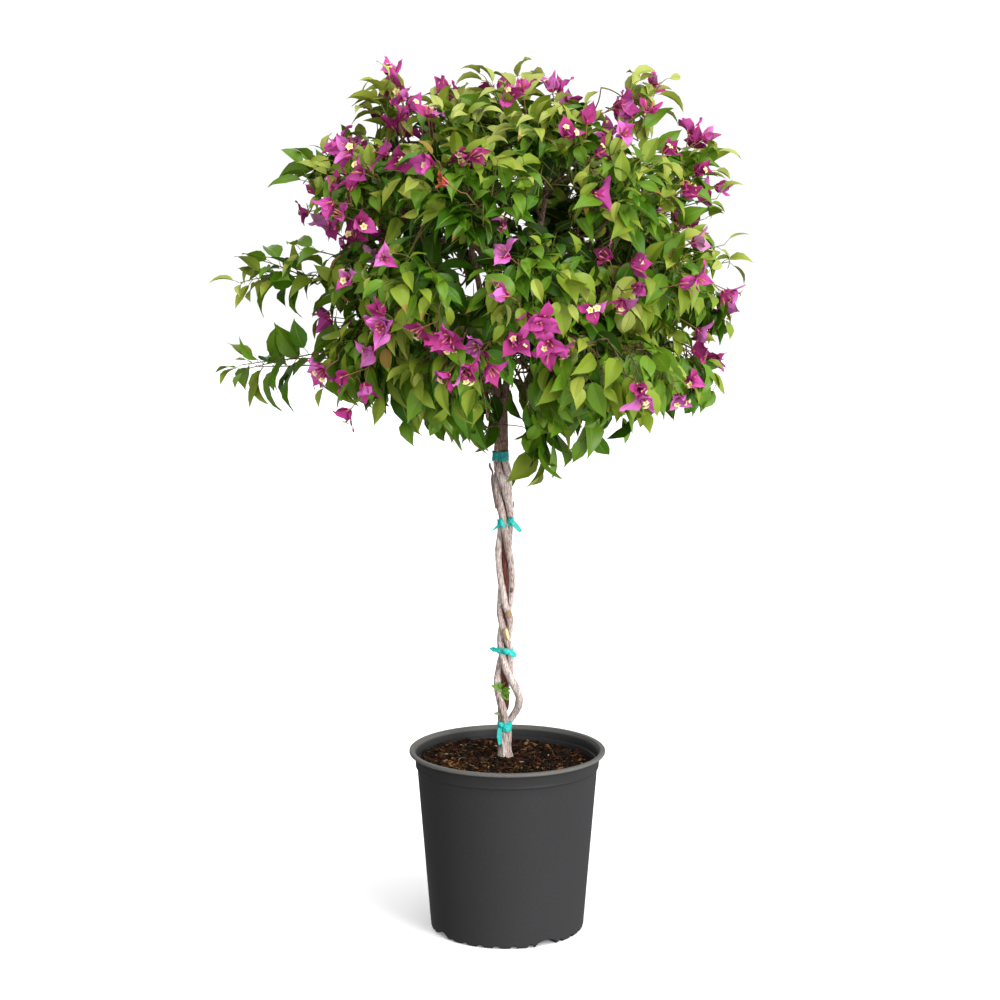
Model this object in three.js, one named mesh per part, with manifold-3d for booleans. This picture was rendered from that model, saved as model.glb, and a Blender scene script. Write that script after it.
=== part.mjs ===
// Bougainvillea trained as a standard: a braided trunk in a nursery pot, under a round, open crown.
// Lengths are millimetres and +Z is up. The origin is on the pot's axis, on its flat underside.
import * as THREE from 'three';
import { mergeVertices } from 'three/addons/utils/BufferGeometryUtils.js';
import Module from 'manifold-3d';

const wasm = await Module();
wasm.setup();

// ---------------------------------------------------------------------------------------------
// Driving dimensions
// ---------------------------------------------------------------------------------------------
const clearance = 0.3;              // gap kept between two solids that touch on the real plant

const pot = {
  height: 240,
  baseRadius: 101.5,
  wallTopRadius: 119.2,             // outer radius just under the collar
  collarRadius: 121.5,
  collarFoot: 217,                  // height at which the collar steps out of the wall
  lipFoot: 234.5,                   // height of the underside of the rolled lip
  lipRadius: 129,
  lipInnerRadius: 122.6,
  wall: 2,
  floor: 2.5,
  drainArches: 4,
  drainArchRadius: 13,
  drainArchDrop: 4,                 // how far the arch's centre lies below the underside
  drainArchReach: 22,               // how far an arch runs in under the floor
  firstDrainAngle: -59.4,           // degrees, anticlockwise from +X
};

const soil = {
  level: 222,
  edgeClearance: 0.7,
  cornerBevel: 14,                  // the root ball's rounded lower corner
  relief: 5,                        // how far the surface rises and falls
  flatAroundStem: 42,
  flatUntil: 75,
};

const trunk = {
  footX: -2.8,
  footY: 31,
  topX: -8,
  topY: 18,
  leanFrom: 540,                    // the upper trunk steps to the left over this stretch
  leanTo: 632,
  stemFootRadius: 9,                // slight flare where the stem meets the soil
  stemRadius: 7.9,
  stemTop: 262,
  braidTop: 634,
  forkHeight: 700,
  neckFootRadius: 9,
  neckTopRadius: 8.6,
};

const braid = {
  strands: 3,
  footReach: 4.9,                   // from the braid's axis to a strand's axis where the stem divides
  tieReach: 6.2,                    // the same, under a tie
  footBlend: 20,
  strandRadius: 3.9,
  strandSwell: 0.8,                 // how much thicker a strand is half way between two ties
  coreRadius: 1.9,
  coreFoot: 287,
  loopReach: 7,                     // how much further the first strand swings out above the lowest tie
};

// Ties from the top of the braid down: mid height, height of the band, how far the strands swell
// apart below it, and whether it is knotted with two loose tails.
const ties = [
  { name: 'tie_top', height: 629.3, band: 13, swellBelow: 3.4, tails: false },
  { name: 'tie_upper', height: 540.5, band: 9, swellBelow: 1.6, tails: true },
  { name: 'tie_lower', height: 368, band: 9, swellBelow: 4.6, tails: true },
  { name: 'tie_foot', height: 264.5, band: 13, swellBelow: 0, tails: false },
];
const tape = {
  thickness: 0.7,
  sides: 12,
  tailLength: 15,
  tailWidth: 4.5,
  tailDepth: 3,
  tailDrop: 28,                     // degrees below level
};

// Heights at which one strand after another passes across the front of the braid, from the top down.
const frontCrossings = [640, 592, 549, 513, 424, 351, 275, 215];

// Rings of foliage masses, from the skirt of the crown to its top: radius of the ring, height, half
// lengths of a mass, angle of the first one, and how much lower the ring hangs at its right end.
const crownRings = [
  { name: 'skirt', count: 4, ring: 92, height: 686, size: [76, 76, 46], turn: -62, droop: 12 },
  { name: 'lower', count: 7, ring: 188, height: 744, size: [100, 100, 74], turn: -100, droop: 10 },
  { name: 'middle', count: 7, ring: 190, height: 862, size: [110, 110, 86], turn: -74, droop: 0 },
  { name: 'shoulder', count: 7, ring: 180, height: 984, size: [106, 106, 80], turn: -98, droop: 0 },
  { name: 'top', count: 3, ring: 76, height: 1052, size: [112, 104, 66], turn: -40, droop: 0 },
];

// Sprays that stand out of the crown's round outline: centre, half lengths and tilt in degrees
// about the fore-and-aft axis, positive with the right end low.
const sprays = [
  { name: 'spray_left_upper', centre: [-286, -18, 872], size: [70, 42, 38], tilt: -6 },
  { name: 'spray_left_lower', centre: [-296, -24, 763], size: [82, 42, 38], tilt: -14 },
  { name: 'spray_left_shoulder', centre: [-246, -8, 1006], size: [56, 48, 38], tilt: 12 },
  { name: 'spray_top_left', centre: [-150, -22, 1082], size: [54, 50, 46], tilt: 30 },
  { name: 'spray_top_middle', centre: [-4, -18, 1101], size: [76, 54, 42], tilt: 0 },
  { name: 'spray_top_right', centre: [172, -22, 1092], size: [52, 50, 50], tilt: -22 },
  { name: 'spray_right_shoulder', centre: [238, -4, 1004], size: [56, 50, 42], tilt: -16 },
  { name: 'spray_right_middle', centre: [252, -12, 830], size: [62, 52, 50], tilt: 0 },
  { name: 'spray_right_lower', centre: [232, -12, 728], size: [60, 52, 46], tilt: 10 },
  { name: 'spray_hanging', centre: [40, -46, 630], size: [38, 36, 44], tilt: 0 },
];
const massDetail = 1;
const massUnevenness = 0.13;

// The two leaders that carry on from the neck, and the limbs that spread from them.
const leaders = [
  { name: 'leader_left', offset: -4.7, top: [-58, 30, 1010], radius: 4.2 },
  { name: 'leader_right', offset: 4.7, top: [52, 4, 1018], radius: 4.4 },
];
const leaderTipRadius = 2.2;
const limbs = {
  count: 7,
  firstAngle: -168,                 // degrees, anticlockwise from +X
  firstHeight: 712,
  heightStep: 17,
  reach: 132,
  rise: 62,
  footRadius: 3.1,
  tipRadius: 1.7,
};

// ---------------------------------------------------------------------------------------------
// Finishes
// ---------------------------------------------------------------------------------------------
const finish = (color, roughness) => new THREE.MeshStandardMaterial({ color, roughness, metalness: 0 });
const finishes = {
  pot: finish(0x3a3a3b, 0.5),
  soil: finish(0x2b1c12, 0.95),
  bark: finish(0xb9a392, 0.85),
  darkBark: finish(0x5d463c, 0.85),
  tie: finish(0x16b3a6, 0.4),
  leafTop: finish(0x6d8a2c, 0.5),
  leaf: finish(0x3c6a20, 0.5),
};

// ---------------------------------------------------------------------------------------------
// Small helpers
// ---------------------------------------------------------------------------------------------
const { lerp, smoothstep, degToRad } = THREE.MathUtils;
const onCircle = (radius, degrees) => [
  radius * Math.cos(degToRad(degrees)),
  radius * Math.sin(degToRad(degrees)),
];

// Repeatable numbers from 0 to 1.
function seededRandom(seed) {
  let state = seed;
  return () => {
    state = (state * 16807) % 2147483647;
    return state / 2147483647;
  };
}

function toSolid(geometry) {
  const bare = geometry.clone();
  bare.deleteAttribute('normal');
  bare.deleteAttribute('uv');
  const merged = mergeVertices(bare, 1e-4);
  return new wasm.Manifold(new wasm.Mesh({
    numProp: 3,
    vertProperties: new Float32Array(merged.attributes.position.array),
    triVerts: new Uint32Array(merged.index.array),
  }));
}

function toGeometry(solid) {
  const mesh = solid.getMesh();
  const geometry = new THREE.BufferGeometry();
  geometry.setAttribute('position', new THREE.BufferAttribute(mesh.vertProperties, 3));
  geometry.setIndex(new THREE.BufferAttribute(mesh.triVerts, 1));
  geometry.computeVertexNormals();
  return geometry;
}

// A cut can leave crumbs beside the piece itself: only the largest body is the piece.
function largestBody(solid) {
  const bodies = solid.decompose();
  return bodies.reduce((best, body) => (body.volume() > best.volume() ? body : best));
}

// A round limb along a curve. radiusAt gives its radius from 0 at the foot to 1 at the tip, and
// grow makes it fatter and longer, as the room that a neighbour leaves for it.
function limbAlong(curve, radiusAt, sides, steps, grow = 0) {
  const limb = new THREE.CylinderGeometry(1, 1, 1, sides, steps);
  const frames = curve.computeFrenetFrames(steps);
  const place = limb.attributes.position;
  for (let i = 0; i < place.count; i += 1) {
    const along = place.getY(i) + 0.5;
    const step = Math.round(along * steps);
    const radius = radiusAt(along) + grow;
    const point = curve.getPointAt(along);
    point.addScaledVector(frames.normals[step], place.getX(i) * radius);
    point.addScaledVector(frames.binormals[step], -place.getZ(i) * radius);
    if (step === 0) point.addScaledVector(frames.tangents[step], -grow);
    if (step === steps) point.addScaledVector(frames.tangents[step], grow);
    place.setXYZ(i, point.x, point.y, point.z);
  }
  return limb;
}

const taper = (footRadius, tipRadius) => (along) => lerp(footRadius, tipRadius, along);

const model = new THREE.Group();

function addMesh(name, geometry, material) {
  const mesh = new THREE.Mesh(geometry, material);
  mesh.name = name;
  model.add(mesh);
  return mesh;
}

// ---------------------------------------------------------------------------------------------
// Pot and soil
// ---------------------------------------------------------------------------------------------
const wallRadiusAt = (height) => lerp(pot.baseRadius, pot.wallTopRadius, height / pot.collarFoot);

// A solid of revolution about Z from a profile of [radius, height] points, from the axis at the
// bottom round to the axis at the top.
function turned(profile, sides) {
  const points = profile.map(([radius, height]) => new THREE.Vector2(radius, height));
  return new THREE.LatheGeometry(points, sides).rotateX(Math.PI / 2);
}

function potBody() {
  const edge = 4;                   // rounding of the foot
  const step = 3;                   // height over which the collar steps out
  const round = 1.6;                // rounding of the lip
  const profile = [
    [0, 0],
    [pot.baseRadius - edge, 0],
    [pot.baseRadius - edge / 4, edge / 4],
    [wallRadiusAt(edge), edge],
    [pot.wallTopRadius, pot.collarFoot],
    [pot.collarRadius, pot.collarFoot + step],
    [pot.collarRadius, pot.lipFoot],
    [pot.lipRadius, pot.lipFoot],
    [pot.lipRadius, pot.height - round],
    [pot.lipRadius - round, pot.height],
    [pot.lipInnerRadius, pot.height],
    [pot.collarRadius - pot.wall, pot.lipFoot],
    [pot.collarRadius - pot.wall, pot.collarFoot + step],
    [pot.wallTopRadius - pot.wall, pot.collarFoot - step / 2],
    [wallRadiusAt(pot.floor) - pot.wall, pot.floor],
    [0, pot.floor],
  ];
  let body = toSolid(turned(profile, 32));
  for (let i = 0; i < pot.drainArches; i += 1) {
    const angle = pot.firstDrainAngle + (360 / pot.drainArches) * i;
    const length = 2 * pot.drainArchReach;
    const arch = new THREE.CylinderGeometry(pot.drainArchRadius, pot.drainArchRadius, length, 16);
    arch.rotateZ(Math.PI / 2);
    arch.translate(pot.baseRadius, 0, -pot.drainArchDrop);
    arch.rotateZ(degToRad(angle));
    body = body.subtract(toSolid(arch));
  }
  return toGeometry(body);
}

// The surface lies high at the back left and low at the right, and is flat round the stem.
function soilRise(x, y) {
  const fromStem = Math.hypot(x - trunk.footX, y - trunk.footY);
  const away = smoothstep(fromStem, soil.flatAroundStem, soil.flatUntil);
  const slope = (-0.75 * x + 0.25 * y) / pot.wallTopRadius;
  const lumps = 0.35 * Math.sin(x / 17 + 1) * Math.cos(y / 21);
  return soil.relief * away * (slope + lumps);
}

function soilBody() {
  const foot = pot.floor + clearance;
  const radiusAt = (height) => wallRadiusAt(height) - pot.wall - soil.edgeClearance;
  const shoulder = pot.collarFoot - 6;
  const profile = [
    [0, foot],
    [radiusAt(foot) - soil.cornerBevel, foot],
    [radiusAt(foot + soil.cornerBevel), foot + soil.cornerBevel],
    [radiusAt(shoulder), shoulder],
  ];
  const rings = 4;
  for (let i = 0; i < rings; i += 1) {
    profile.push([radiusAt(shoulder) * (1 - i / rings), soil.level]);
  }
  profile.push([0, soil.level]);
  const body = turned(profile, 24);
  const place = body.attributes.position;
  for (let i = 0; i < place.count; i += 1) {
    if (place.getZ(i) > shoulder + 1) {
      place.setZ(i, place.getZ(i) + soilRise(place.getX(i), place.getY(i)));
    }
  }
  return body;
}

addMesh('pot', potBody(), finishes.pot);
addMesh('soil', soilBody(), finishes.soil);

// ---------------------------------------------------------------------------------------------
// Trunk: a single foot stem, three strands twisted round a dark core, and the neck above them
// ---------------------------------------------------------------------------------------------
const soilTop = soil.level + clearance;

// The axis of the whole trunk leans forward as it rises, and steps to the left near its top.
function trunkAxis(height) {
  const along = (height - soilTop) / (trunk.forkHeight - soilTop);
  const lean = smoothstep(height, trunk.leanFrom, trunk.leanTo);
  return new THREE.Vector3(
    lerp(trunk.footX, trunk.topX, lean),
    lerp(trunk.footY, trunk.topY, along),
    height,
  );
}

// How far open the braid is at a height: 0 at a tie, 1 half way between two ties.
function openness(height) {
  for (let i = 0; i + 1 < ties.length; i += 1) {
    if (height <= ties[i].height && height >= ties[i + 1].height) {
      const along = (height - ties[i + 1].height) / (ties[i].height - ties[i + 1].height);
      return { open: Math.sin(Math.PI * along) ** 2, swell: ties[i].swellBelow };
    }
  }
  return { open: 0, swell: 0 };
}

// Each crossing of the front is a third of a turn after the one above it.
function twistAt(height) {
  const below = frontCrossings.findIndex((crossing) => crossing < height);
  const next = below === -1 ? frontCrossings.length - 1 : Math.max(below, 1);
  const from = frontCrossings[next - 1];
  const to = frontCrossings[next];
  const crossings = next - 1 + (from - height) / (from - to);
  return -90 + (crossings - 2) * (360 / braid.strands);
}

class StrandPath extends THREE.Curve {
  constructor(strand) {
    super();
    this.strand = strand;
  }

  getPoint(t, target = new THREE.Vector3()) {
    const height = lerp(trunk.stemTop + clearance, trunk.braidTop, t);
    const { open, swell } = openness(height);
    const settled = smoothstep(height, trunk.stemTop, trunk.stemTop + braid.footBlend);
    let reach = lerp(braid.footReach, braid.tieReach, settled) + swell * open;
    if (this.strand === 0 && height < ties[2].height) reach += braid.loopReach * open;
    const turn = twistAt(height) - (this.strand * 360) / braid.strands;
    const [x, y] = onCircle(reach, turn);
    return target.copy(trunkAxis(height)).add(new THREE.Vector3(x, y, 0));
  }
}

// A straight run of the trunk's axis between two heights.
class AxisPath extends THREE.Curve {
  constructor(foot, top) {
    super();
    this.foot = foot;
    this.top = top;
  }

  getPoint(t, target = new THREE.Vector3()) {
    return target.copy(trunkAxis(lerp(this.foot, this.top, t)));
  }
}

// Level ends, so that one run of the trunk stands flat on the next.
function levelEnds(geometry, foot, top) {
  const place = geometry.attributes.position;
  const reach = (top - foot) / 60;
  for (let i = 0; i < place.count; i += 1) {
    if (Math.abs(place.getZ(i) - foot) < reach) place.setZ(i, foot);
    if (Math.abs(place.getZ(i) - top) < reach) place.setZ(i, top);
  }
  return geometry;
}

function strandBody(strand) {
  const foot = trunk.stemTop + clearance;
  const radiusAt = (along) => {
    const { open } = openness(lerp(foot, trunk.braidTop, along));
    return braid.strandRadius + braid.strandSwell * open;
  };
  const body = limbAlong(new StrandPath(strand), radiusAt, 6, 30);
  return levelEnds(body, foot, trunk.braidTop);
}

const stemRadii = taper(trunk.stemFootRadius, trunk.stemRadius);
const stem = limbAlong(new AxisPath(soilTop, trunk.stemTop), (t) => stemRadii(Math.sqrt(t)), 10, 2);
addMesh('trunk_foot', levelEnds(stem, soilTop, trunk.stemTop), finishes.bark);

['front', 'left', 'right'].forEach((side, strand) => {
  addMesh(`trunk_strand_${side}`, strandBody(strand), finishes.bark);
});

const corePath = new AxisPath(braid.coreFoot, trunk.braidTop);
const coreBody = limbAlong(corePath, taper(braid.coreRadius, braid.coreRadius), 5, 12);
addMesh('trunk_core', levelEnds(coreBody, braid.coreFoot, trunk.braidTop), finishes.darkBark);

const neckFoot = trunk.braidTop + clearance;
const neckPath = new AxisPath(neckFoot, trunk.forkHeight);
const neckRadii = taper(trunk.neckFootRadius, trunk.neckTopRadius);
const neckBody = levelEnds(limbAlong(neckPath, neckRadii, 9, 2), neckFoot, trunk.forkHeight);
addMesh('trunk_neck', neckBody, finishes.darkBark);

// ---------------------------------------------------------------------------------------------
// Ties: bands of stretch tape round the braid
// ---------------------------------------------------------------------------------------------
function drum(radius, height) {
  return new THREE.CylinderGeometry(radius, radius, height, tape.sides).rotateX(Math.PI / 2);
}

// One loose end of the tape: a flat blade that leaves the front of the band sideways and down.
function tieTail(side, bandRadius) {
  const tail = new THREE.BoxGeometry(tape.tailLength, tape.tailDepth, tape.tailWidth);
  tail.rotateY(degToRad(side * tape.tailDrop));
  tail.translate(side * (bandRadius + tape.tailLength / 4), -bandRadius / 2, 0);
  return toSolid(tail);
}

function tieBody(tie, index) {
  const isFoot = index === ties.length - 1;
  const reach = isFoot ? braid.footReach + 1 : braid.tieReach;
  const facets = 1 / Math.cos(Math.PI / tape.sides);
  const inner = (reach + braid.strandRadius + 2 * clearance) * facets;
  const outer = inner + tape.thickness;
  let band = toSolid(drum(outer, tie.band));
  for (const side of tie.tails ? [-1, 1] : []) band = band.add(tieTail(side, outer));
  band = largestBody(band.subtract(toSolid(drum(inner, 4 * tie.band))));
  return toGeometry(band).translate(...trunkAxis(tie.height).toArray());
}

ties.forEach((tie, index) => addMesh(tie.name, tieBody(tie, index), finishes.tie));

// ---------------------------------------------------------------------------------------------
// Boughs: two leaders from the fork, and limbs that spread from them in a rising spiral
// ---------------------------------------------------------------------------------------------
const forkPoint = trunkAxis(trunk.forkHeight);

function leaderPath(leader) {
  const foot = forkPoint.clone().add(new THREE.Vector3(leader.offset, 0, 2 * clearance));
  const top = new THREE.Vector3(...leader.top);
  const rise = (top.z - foot.z) / 3;
  const upright = foot.clone().add(new THREE.Vector3(leader.offset * 1.4, 0, rise));
  const leaning = top.clone().add(new THREE.Vector3(0, 0, -rise));
  return new THREE.CubicBezierCurve3(foot, upright, leaning, top);
}

function limbPath(index) {
  const angle = limbs.firstAngle + (360 / limbs.count) * index;
  const side = Math.cos(degToRad(angle)) < 0 ? 0 : 1;
  const height = limbs.firstHeight + limbs.heightStep * index;
  const carrier = leaderPath(leaders[side]);
  const along = (height - trunk.forkHeight) / (leaders[side].top[2] - trunk.forkHeight);
  const foot = carrier.getPoint(along);
  const [x, y] = onCircle(limbs.reach, angle);
  const tip = new THREE.Vector3(x, y, foot.z + limbs.rise);
  const knee = foot.clone().lerp(tip, 0.5).add(new THREE.Vector3(0, 0, -limbs.rise / 5));
  return new THREE.QuadraticBezierCurve3(foot, knee, tip);
}

const boughs = [];

// Cuts a new bough back from the boughs that are there already, and remembers it with its room.
function addBough(name, path, footRadius, tipRadius, steps) {
  const radii = taper(footRadius, tipRadius);
  let body = toSolid(limbAlong(path, radii, 5, steps));
  for (const other of boughs) body = body.subtract(other.room);
  body = largestBody(body);
  boughs.push({ room: toSolid(limbAlong(path, radii, 5, steps, clearance)) });
  addMesh(name, toGeometry(body), finishes.darkBark);
}

for (const leader of leaders) {
  addBough(leader.name, leaderPath(leader), leader.radius, leaderTipRadius, 6);
}
for (let i = 0; i < limbs.count; i += 1) {
  addBough(`limb_${i + 1}`, limbPath(i), limbs.footRadius, limbs.tipRadius, 4);
}

// ---------------------------------------------------------------------------------------------
// Foliage: uneven masses that meet on plane faces, as bunches of leaves press on each other
// ---------------------------------------------------------------------------------------------
function crownMasses() {
  const masses = [];
  crownRings.forEach((ring, ringIndex) => {
    const random = seededRandom(101 + ringIndex * 37);
    const vary = (amount) => 1 + amount * (2 * random() - 1);
    for (let i = 0; i < ring.count; i += 1) {
      const angle = ring.turn + (360 / ring.count) * (i + 0.25 * (random() - 0.5));
      const [x, y] = onCircle(ring.ring * vary(0.05), angle);
      const height = ring.height - (ring.droop * x) / ring.ring + 14 * (random() - 0.5);
      masses.push({
        name: `foliage_${ring.name}_${i + 1}`,
        centre: new THREE.Vector3(x, y, height),
        size: ring.size.map((half) => half * vary(0.06)),
        tilt: 0,
        seed: ringIndex * 10 + i + 1,
      });
    }
  });
  sprays.forEach((spray, index) => masses.push({
    name: `foliage_${spray.name}`,
    centre: new THREE.Vector3(...spray.centre),
    size: spray.size,
    tilt: spray.tilt,
    seed: 70 + index,
  }));
  return masses;
}

// A ball stretched to the mass's half lengths, with a few slow bumps over its surface.
function massBody(mass) {
  const ball = new THREE.IcosahedronGeometry(1, massDetail);
  const place = ball.attributes.position;
  const way = new THREE.Vector3();
  for (let i = 0; i < place.count; i += 1) {
    way.fromBufferAttribute(place, i);
    const bumps = Math.sin(3.1 * way.x + mass.seed) + Math.sin(3.7 * way.y + 2.3 * mass.seed)
      + Math.sin(4.3 * way.z + 1.7 * mass.seed);
    way.multiplyScalar(1 + (massUnevenness * bumps) / 3 - massUnevenness / 2);
    place.setXYZ(i, way.x, way.y, way.z);
  }
  ball.scale(...mass.size);
  ball.rotateY(degToRad(mass.tilt));
  ball.translate(...mass.centre.toArray());
  return toSolid(ball);
}

// Distance from a mass's centre to its surface in a direction.
function reachTowards(mass, direction) {
  const level = direction.clone().applyAxisAngle(new THREE.Vector3(0, 1, 0), -degToRad(mass.tilt));
  const [a, b, c] = mass.size;
  return 1 / Math.hypot(level.x / a, level.y / b, level.z / c);
}

// Everything beyond the plane where a mass meets its neighbour, as one big block.
function roomBeyond(mass, neighbour) {
  const block = 1500;
  const direction = neighbour.centre.clone().sub(mass.centre);
  const apart = direction.length();
  direction.normalize();
  const mine = reachTowards(mass, direction);
  const theirs = reachTowards(neighbour, direction);
  const meeting = (apart * mine) / (mine + theirs) - clearance / 2;
  const middle = mass.centre.clone().addScaledVector(direction, meeting + block / 2);
  const toward = new THREE.Quaternion().setFromUnitVectors(new THREE.Vector3(0, 0, 1), direction);
  const placed = new THREE.Matrix4().compose(middle, toward, new THREE.Vector3(1, 1, 1));
  return toSolid(new THREE.BoxGeometry(block, block, block).applyMatrix4(placed));
}

function overlapPossible(mass, neighbour) {
  return mass.centre.distanceTo(neighbour.centre) < Math.max(...mass.size) + Math.max(...neighbour.size);
}

const masses = crownMasses();
const neckRoom = toSolid(limbAlong(neckPath, neckRadii, 9, 2, 4));
for (const mass of masses) {
  let body = massBody(mass);
  for (const neighbour of masses) {
    if (neighbour !== mass && overlapPossible(mass, neighbour)) {
      body = body.subtract(roomBeyond(mass, neighbour));
    }
  }
  for (const bough of boughs) body = body.subtract(bough.room);
  body = largestBody(body.subtract(neckRoom));
  const high = mass.centre.z > crownRings[2].height;
  addMesh(mass.name, toGeometry(body), high ? finishes.leafTop : finishes.leaf);
}

export default model;
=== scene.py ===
# %% [markdown]
# # A bougainvillea standard in its nursery pot
# A small flowering tree: three rooted cuttings were twisted into one trunk, tied with green tape,
# and their heads clipped into a round, open crown. The CAD model already holds every size. This
# lesson loads it as a fixed frame and then makes each real surface round it: the moulded pot, the
# potting soil, the twisted bark, the tape, the branching, and some thousands of leaves and bracts.
# Lengths are metres, +Z is up, and the origin is on the pot's axis at its flat underside.

# %% Load the frame
import math
import bpy
import numpy as np
from mathutils.bvhtree import BVHTree
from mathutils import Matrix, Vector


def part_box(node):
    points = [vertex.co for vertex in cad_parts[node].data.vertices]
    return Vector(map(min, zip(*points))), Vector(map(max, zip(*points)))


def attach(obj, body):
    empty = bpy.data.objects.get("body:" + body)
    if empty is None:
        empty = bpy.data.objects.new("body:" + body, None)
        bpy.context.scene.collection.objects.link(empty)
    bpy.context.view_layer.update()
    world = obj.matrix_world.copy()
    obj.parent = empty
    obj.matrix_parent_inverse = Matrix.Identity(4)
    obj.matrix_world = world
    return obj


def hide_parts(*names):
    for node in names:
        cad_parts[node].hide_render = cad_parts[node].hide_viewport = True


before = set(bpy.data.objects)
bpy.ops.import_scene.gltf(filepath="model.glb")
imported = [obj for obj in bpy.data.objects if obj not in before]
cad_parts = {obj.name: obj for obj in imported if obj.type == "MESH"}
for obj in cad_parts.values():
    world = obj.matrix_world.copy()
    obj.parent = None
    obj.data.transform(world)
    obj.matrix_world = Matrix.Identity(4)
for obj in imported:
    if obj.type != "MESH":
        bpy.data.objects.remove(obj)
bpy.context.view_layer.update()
BODY = "root"

# %% [markdown]
# ## Camera
# The plant is looked at from chest height, nearly three metres away, with a short telephoto lens.
# The camera tips down a little, so that the pot's lip shows as a thin ellipse.

# %% Camera
EYE = (-0.0096, -2.93, 1.015)
LOOK_DOWN = math.radians(8.57)
SENSOR_WIDTH, LENS_LENGTH = 36, 81.97
camera_data = bpy.data.cameras.new("studio_camera")
camera_data.sensor_width = SENSOR_WIDTH
camera_data.lens = LENS_LENGTH
camera = bpy.data.objects.new("studio_camera", camera_data)
camera.location = EYE
camera.rotation_euler = (math.pi / 2 - LOOK_DOWN, 0, 0)
bpy.context.scene.collection.objects.link(camera)
bpy.context.scene.camera = camera
print("camera at", EYE)

# %% [markdown]
# ## Nodes
# The light and every finish are small networks of nodes: a socket of one node feeds an input of the
# next. Two helpers make a node and fill in its inputs, so that each network below reads as a list.


# %% Nodes
def wire(node, inputs):
    """Fills in a node's inputs: a socket is linked to its input, and anything else is its value."""
    for key, value in inputs.items():
        if isinstance(value, bpy.types.NodeSocket):
            node.id_data.links.new(value, node.inputs[key])
        else:
            node.inputs[key].default_value = value


def new_node(tree, kind, inputs=()):
    """A new node of a kind in a tree, with its inputs filled in."""
    node = tree.nodes.new(kind)
    wire(node, dict(inputs))
    return node


def scaled_value(tree, value, low, high, to_low, to_high):
    """A value carried from the range low..high to the range to_low..to_high, and kept in it."""
    ends = {"From Min": low, "From Max": high, "To Min": to_low, "To Max": to_high}
    return new_node(tree, "ShaderNodeMapRange", {"Value": value, **ends}).outputs["Result"]


# %% [markdown]
# ## Floor and light
# A catalogue picture is lit almost from everywhere: a white room gives the even light, brightest at
# the front right and dim at the back left, which gives the pot its darker left side. One big soft
# key light comes from high at the front right, so the shadow of the pot falls softly to its left.
# The key is a sun with a wide disc, because its light stays as strong far away and keeps the floor
# as white as the room. A lamp overhead brightens the crown's top, a low one at the right fills in
# its lower half, and a wide one behind keeps the far side from going black. The room looks evenly
# white to the camera. The floor glows a little, as a light table does, and throws no light back, so
# that the pot's sides keep their shading. The plain "Standard" view keeps each base colour as mixed.


# %% Floor and light
def lamp(name, place, aim, size, power, kind="AREA"):
    """A soft lamp at `place` that faces the point `aim`: a square one of a size in metres, or a sun
    whose disc has a width in radians."""
    data = bpy.data.lights.new(name, kind)
    if kind == "SUN":
        data.angle = size
    else:
        data.size = size
    data.energy = power
    light = bpy.data.objects.new(name, data)
    light.location = place
    way = np.subtract(aim, place)
    level = math.hypot(way[0], way[1])
    light.rotation_euler = (math.atan2(level, -way[2]), 0, math.atan2(-way[0], way[1]))
    bpy.context.scene.collection.objects.link(light)


def white_room(seen, dim, bright, toward, dim_until=-0.6, bright_from=0.9):
    """The even white light from all sides. What the camera sees has the strength `seen`. What
    lights the plant grows from `dim` to `bright` as its direction turns to `toward`: the measure
    is the dot product of the two directions, from `dim_until` to `bright_from`."""
    world = bpy.data.worlds.new("white_room")
    world.use_nodes = True
    tree, even_white = world.node_tree, (1, 1, 1, 1)
    way = new_node(tree, "ShaderNodeTexCoord").outputs["Generated"]
    facing = new_node(tree, "ShaderNodeVectorMath", {0: way, 1: toward})
    facing.operation = "DOT_PRODUCT"
    graded = scaled_value(tree, facing.outputs["Value"], dim_until, bright_from, dim, bright)
    lighting = tree.nodes["Background"]
    wire(lighting, {"Color": even_white, "Strength": graded})
    backdrop = new_node(tree, "ShaderNodeBackground", {"Color": even_white, "Strength": seen})
    ray = new_node(tree, "ShaderNodeLightPath").outputs["Is Camera Ray"]
    by_ray = {"Fac": ray, 1: lighting.outputs[0], 2: backdrop.outputs[0]}
    choice = new_node(tree, "ShaderNodeMixShader", by_ray)
    wire(tree.nodes["World Output"], {"Surface": choice.outputs[0]})
    bpy.context.scene.world = world


bpy.context.scene.view_settings.view_transform = "Standard"
white_room(seen=1.05, dim=0.26, bright=1.66, toward=(0.55, -0.75, 0.36))
lamp("key_light", (2.0, -2.0, 2.9), aim=(0, 0, 0.7), size=math.radians(35), power=1.55, kind="SUN")
lamp("top_lamp", (-0.3, -0.2, 3.2), aim=(0, 0, 0.8), size=1.8, power=22)
lamp("low_fill", (1.4, -1.8, 0.6), aim=(0, 0, 0.5), size=0.8, power=24)
lamp("back_fill", (-0.9, 2.8, 1.5), aim=(0, 0, 0.7), size=2.0, power=14)

FLOOR_HALF = 9.0
floor_mesh = bpy.data.meshes.new("studio_floor")
floor_corners = [(x * FLOOR_HALF, y * FLOOR_HALF, 0) for x, y in ((-1, -1), (1, -1), (1, 1), (-1, 1))]
floor_mesh.from_pydata(floor_corners, [], [(0, 1, 2, 3)])
floor = bpy.data.objects.new("studio_floor", floor_mesh)
bpy.context.scene.collection.objects.link(floor)
floor.visible_diffuse = False
floor.visible_glossy = False
print("room and lamps are up")

# %% [markdown]
# ## Helpers for shapes
# Nearly every piece below is one of three things: a net of points worked out from two parameters,
# a round limb carried along a path, or a thin blade such as a leaf. Each helper works on whole
# arrays, so a thousand limbs cost one call.


# %% Small mathematics
def lerp(a, b, t):
    """The value a share t of the way from a to b."""
    return a + (b - a) * t


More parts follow.
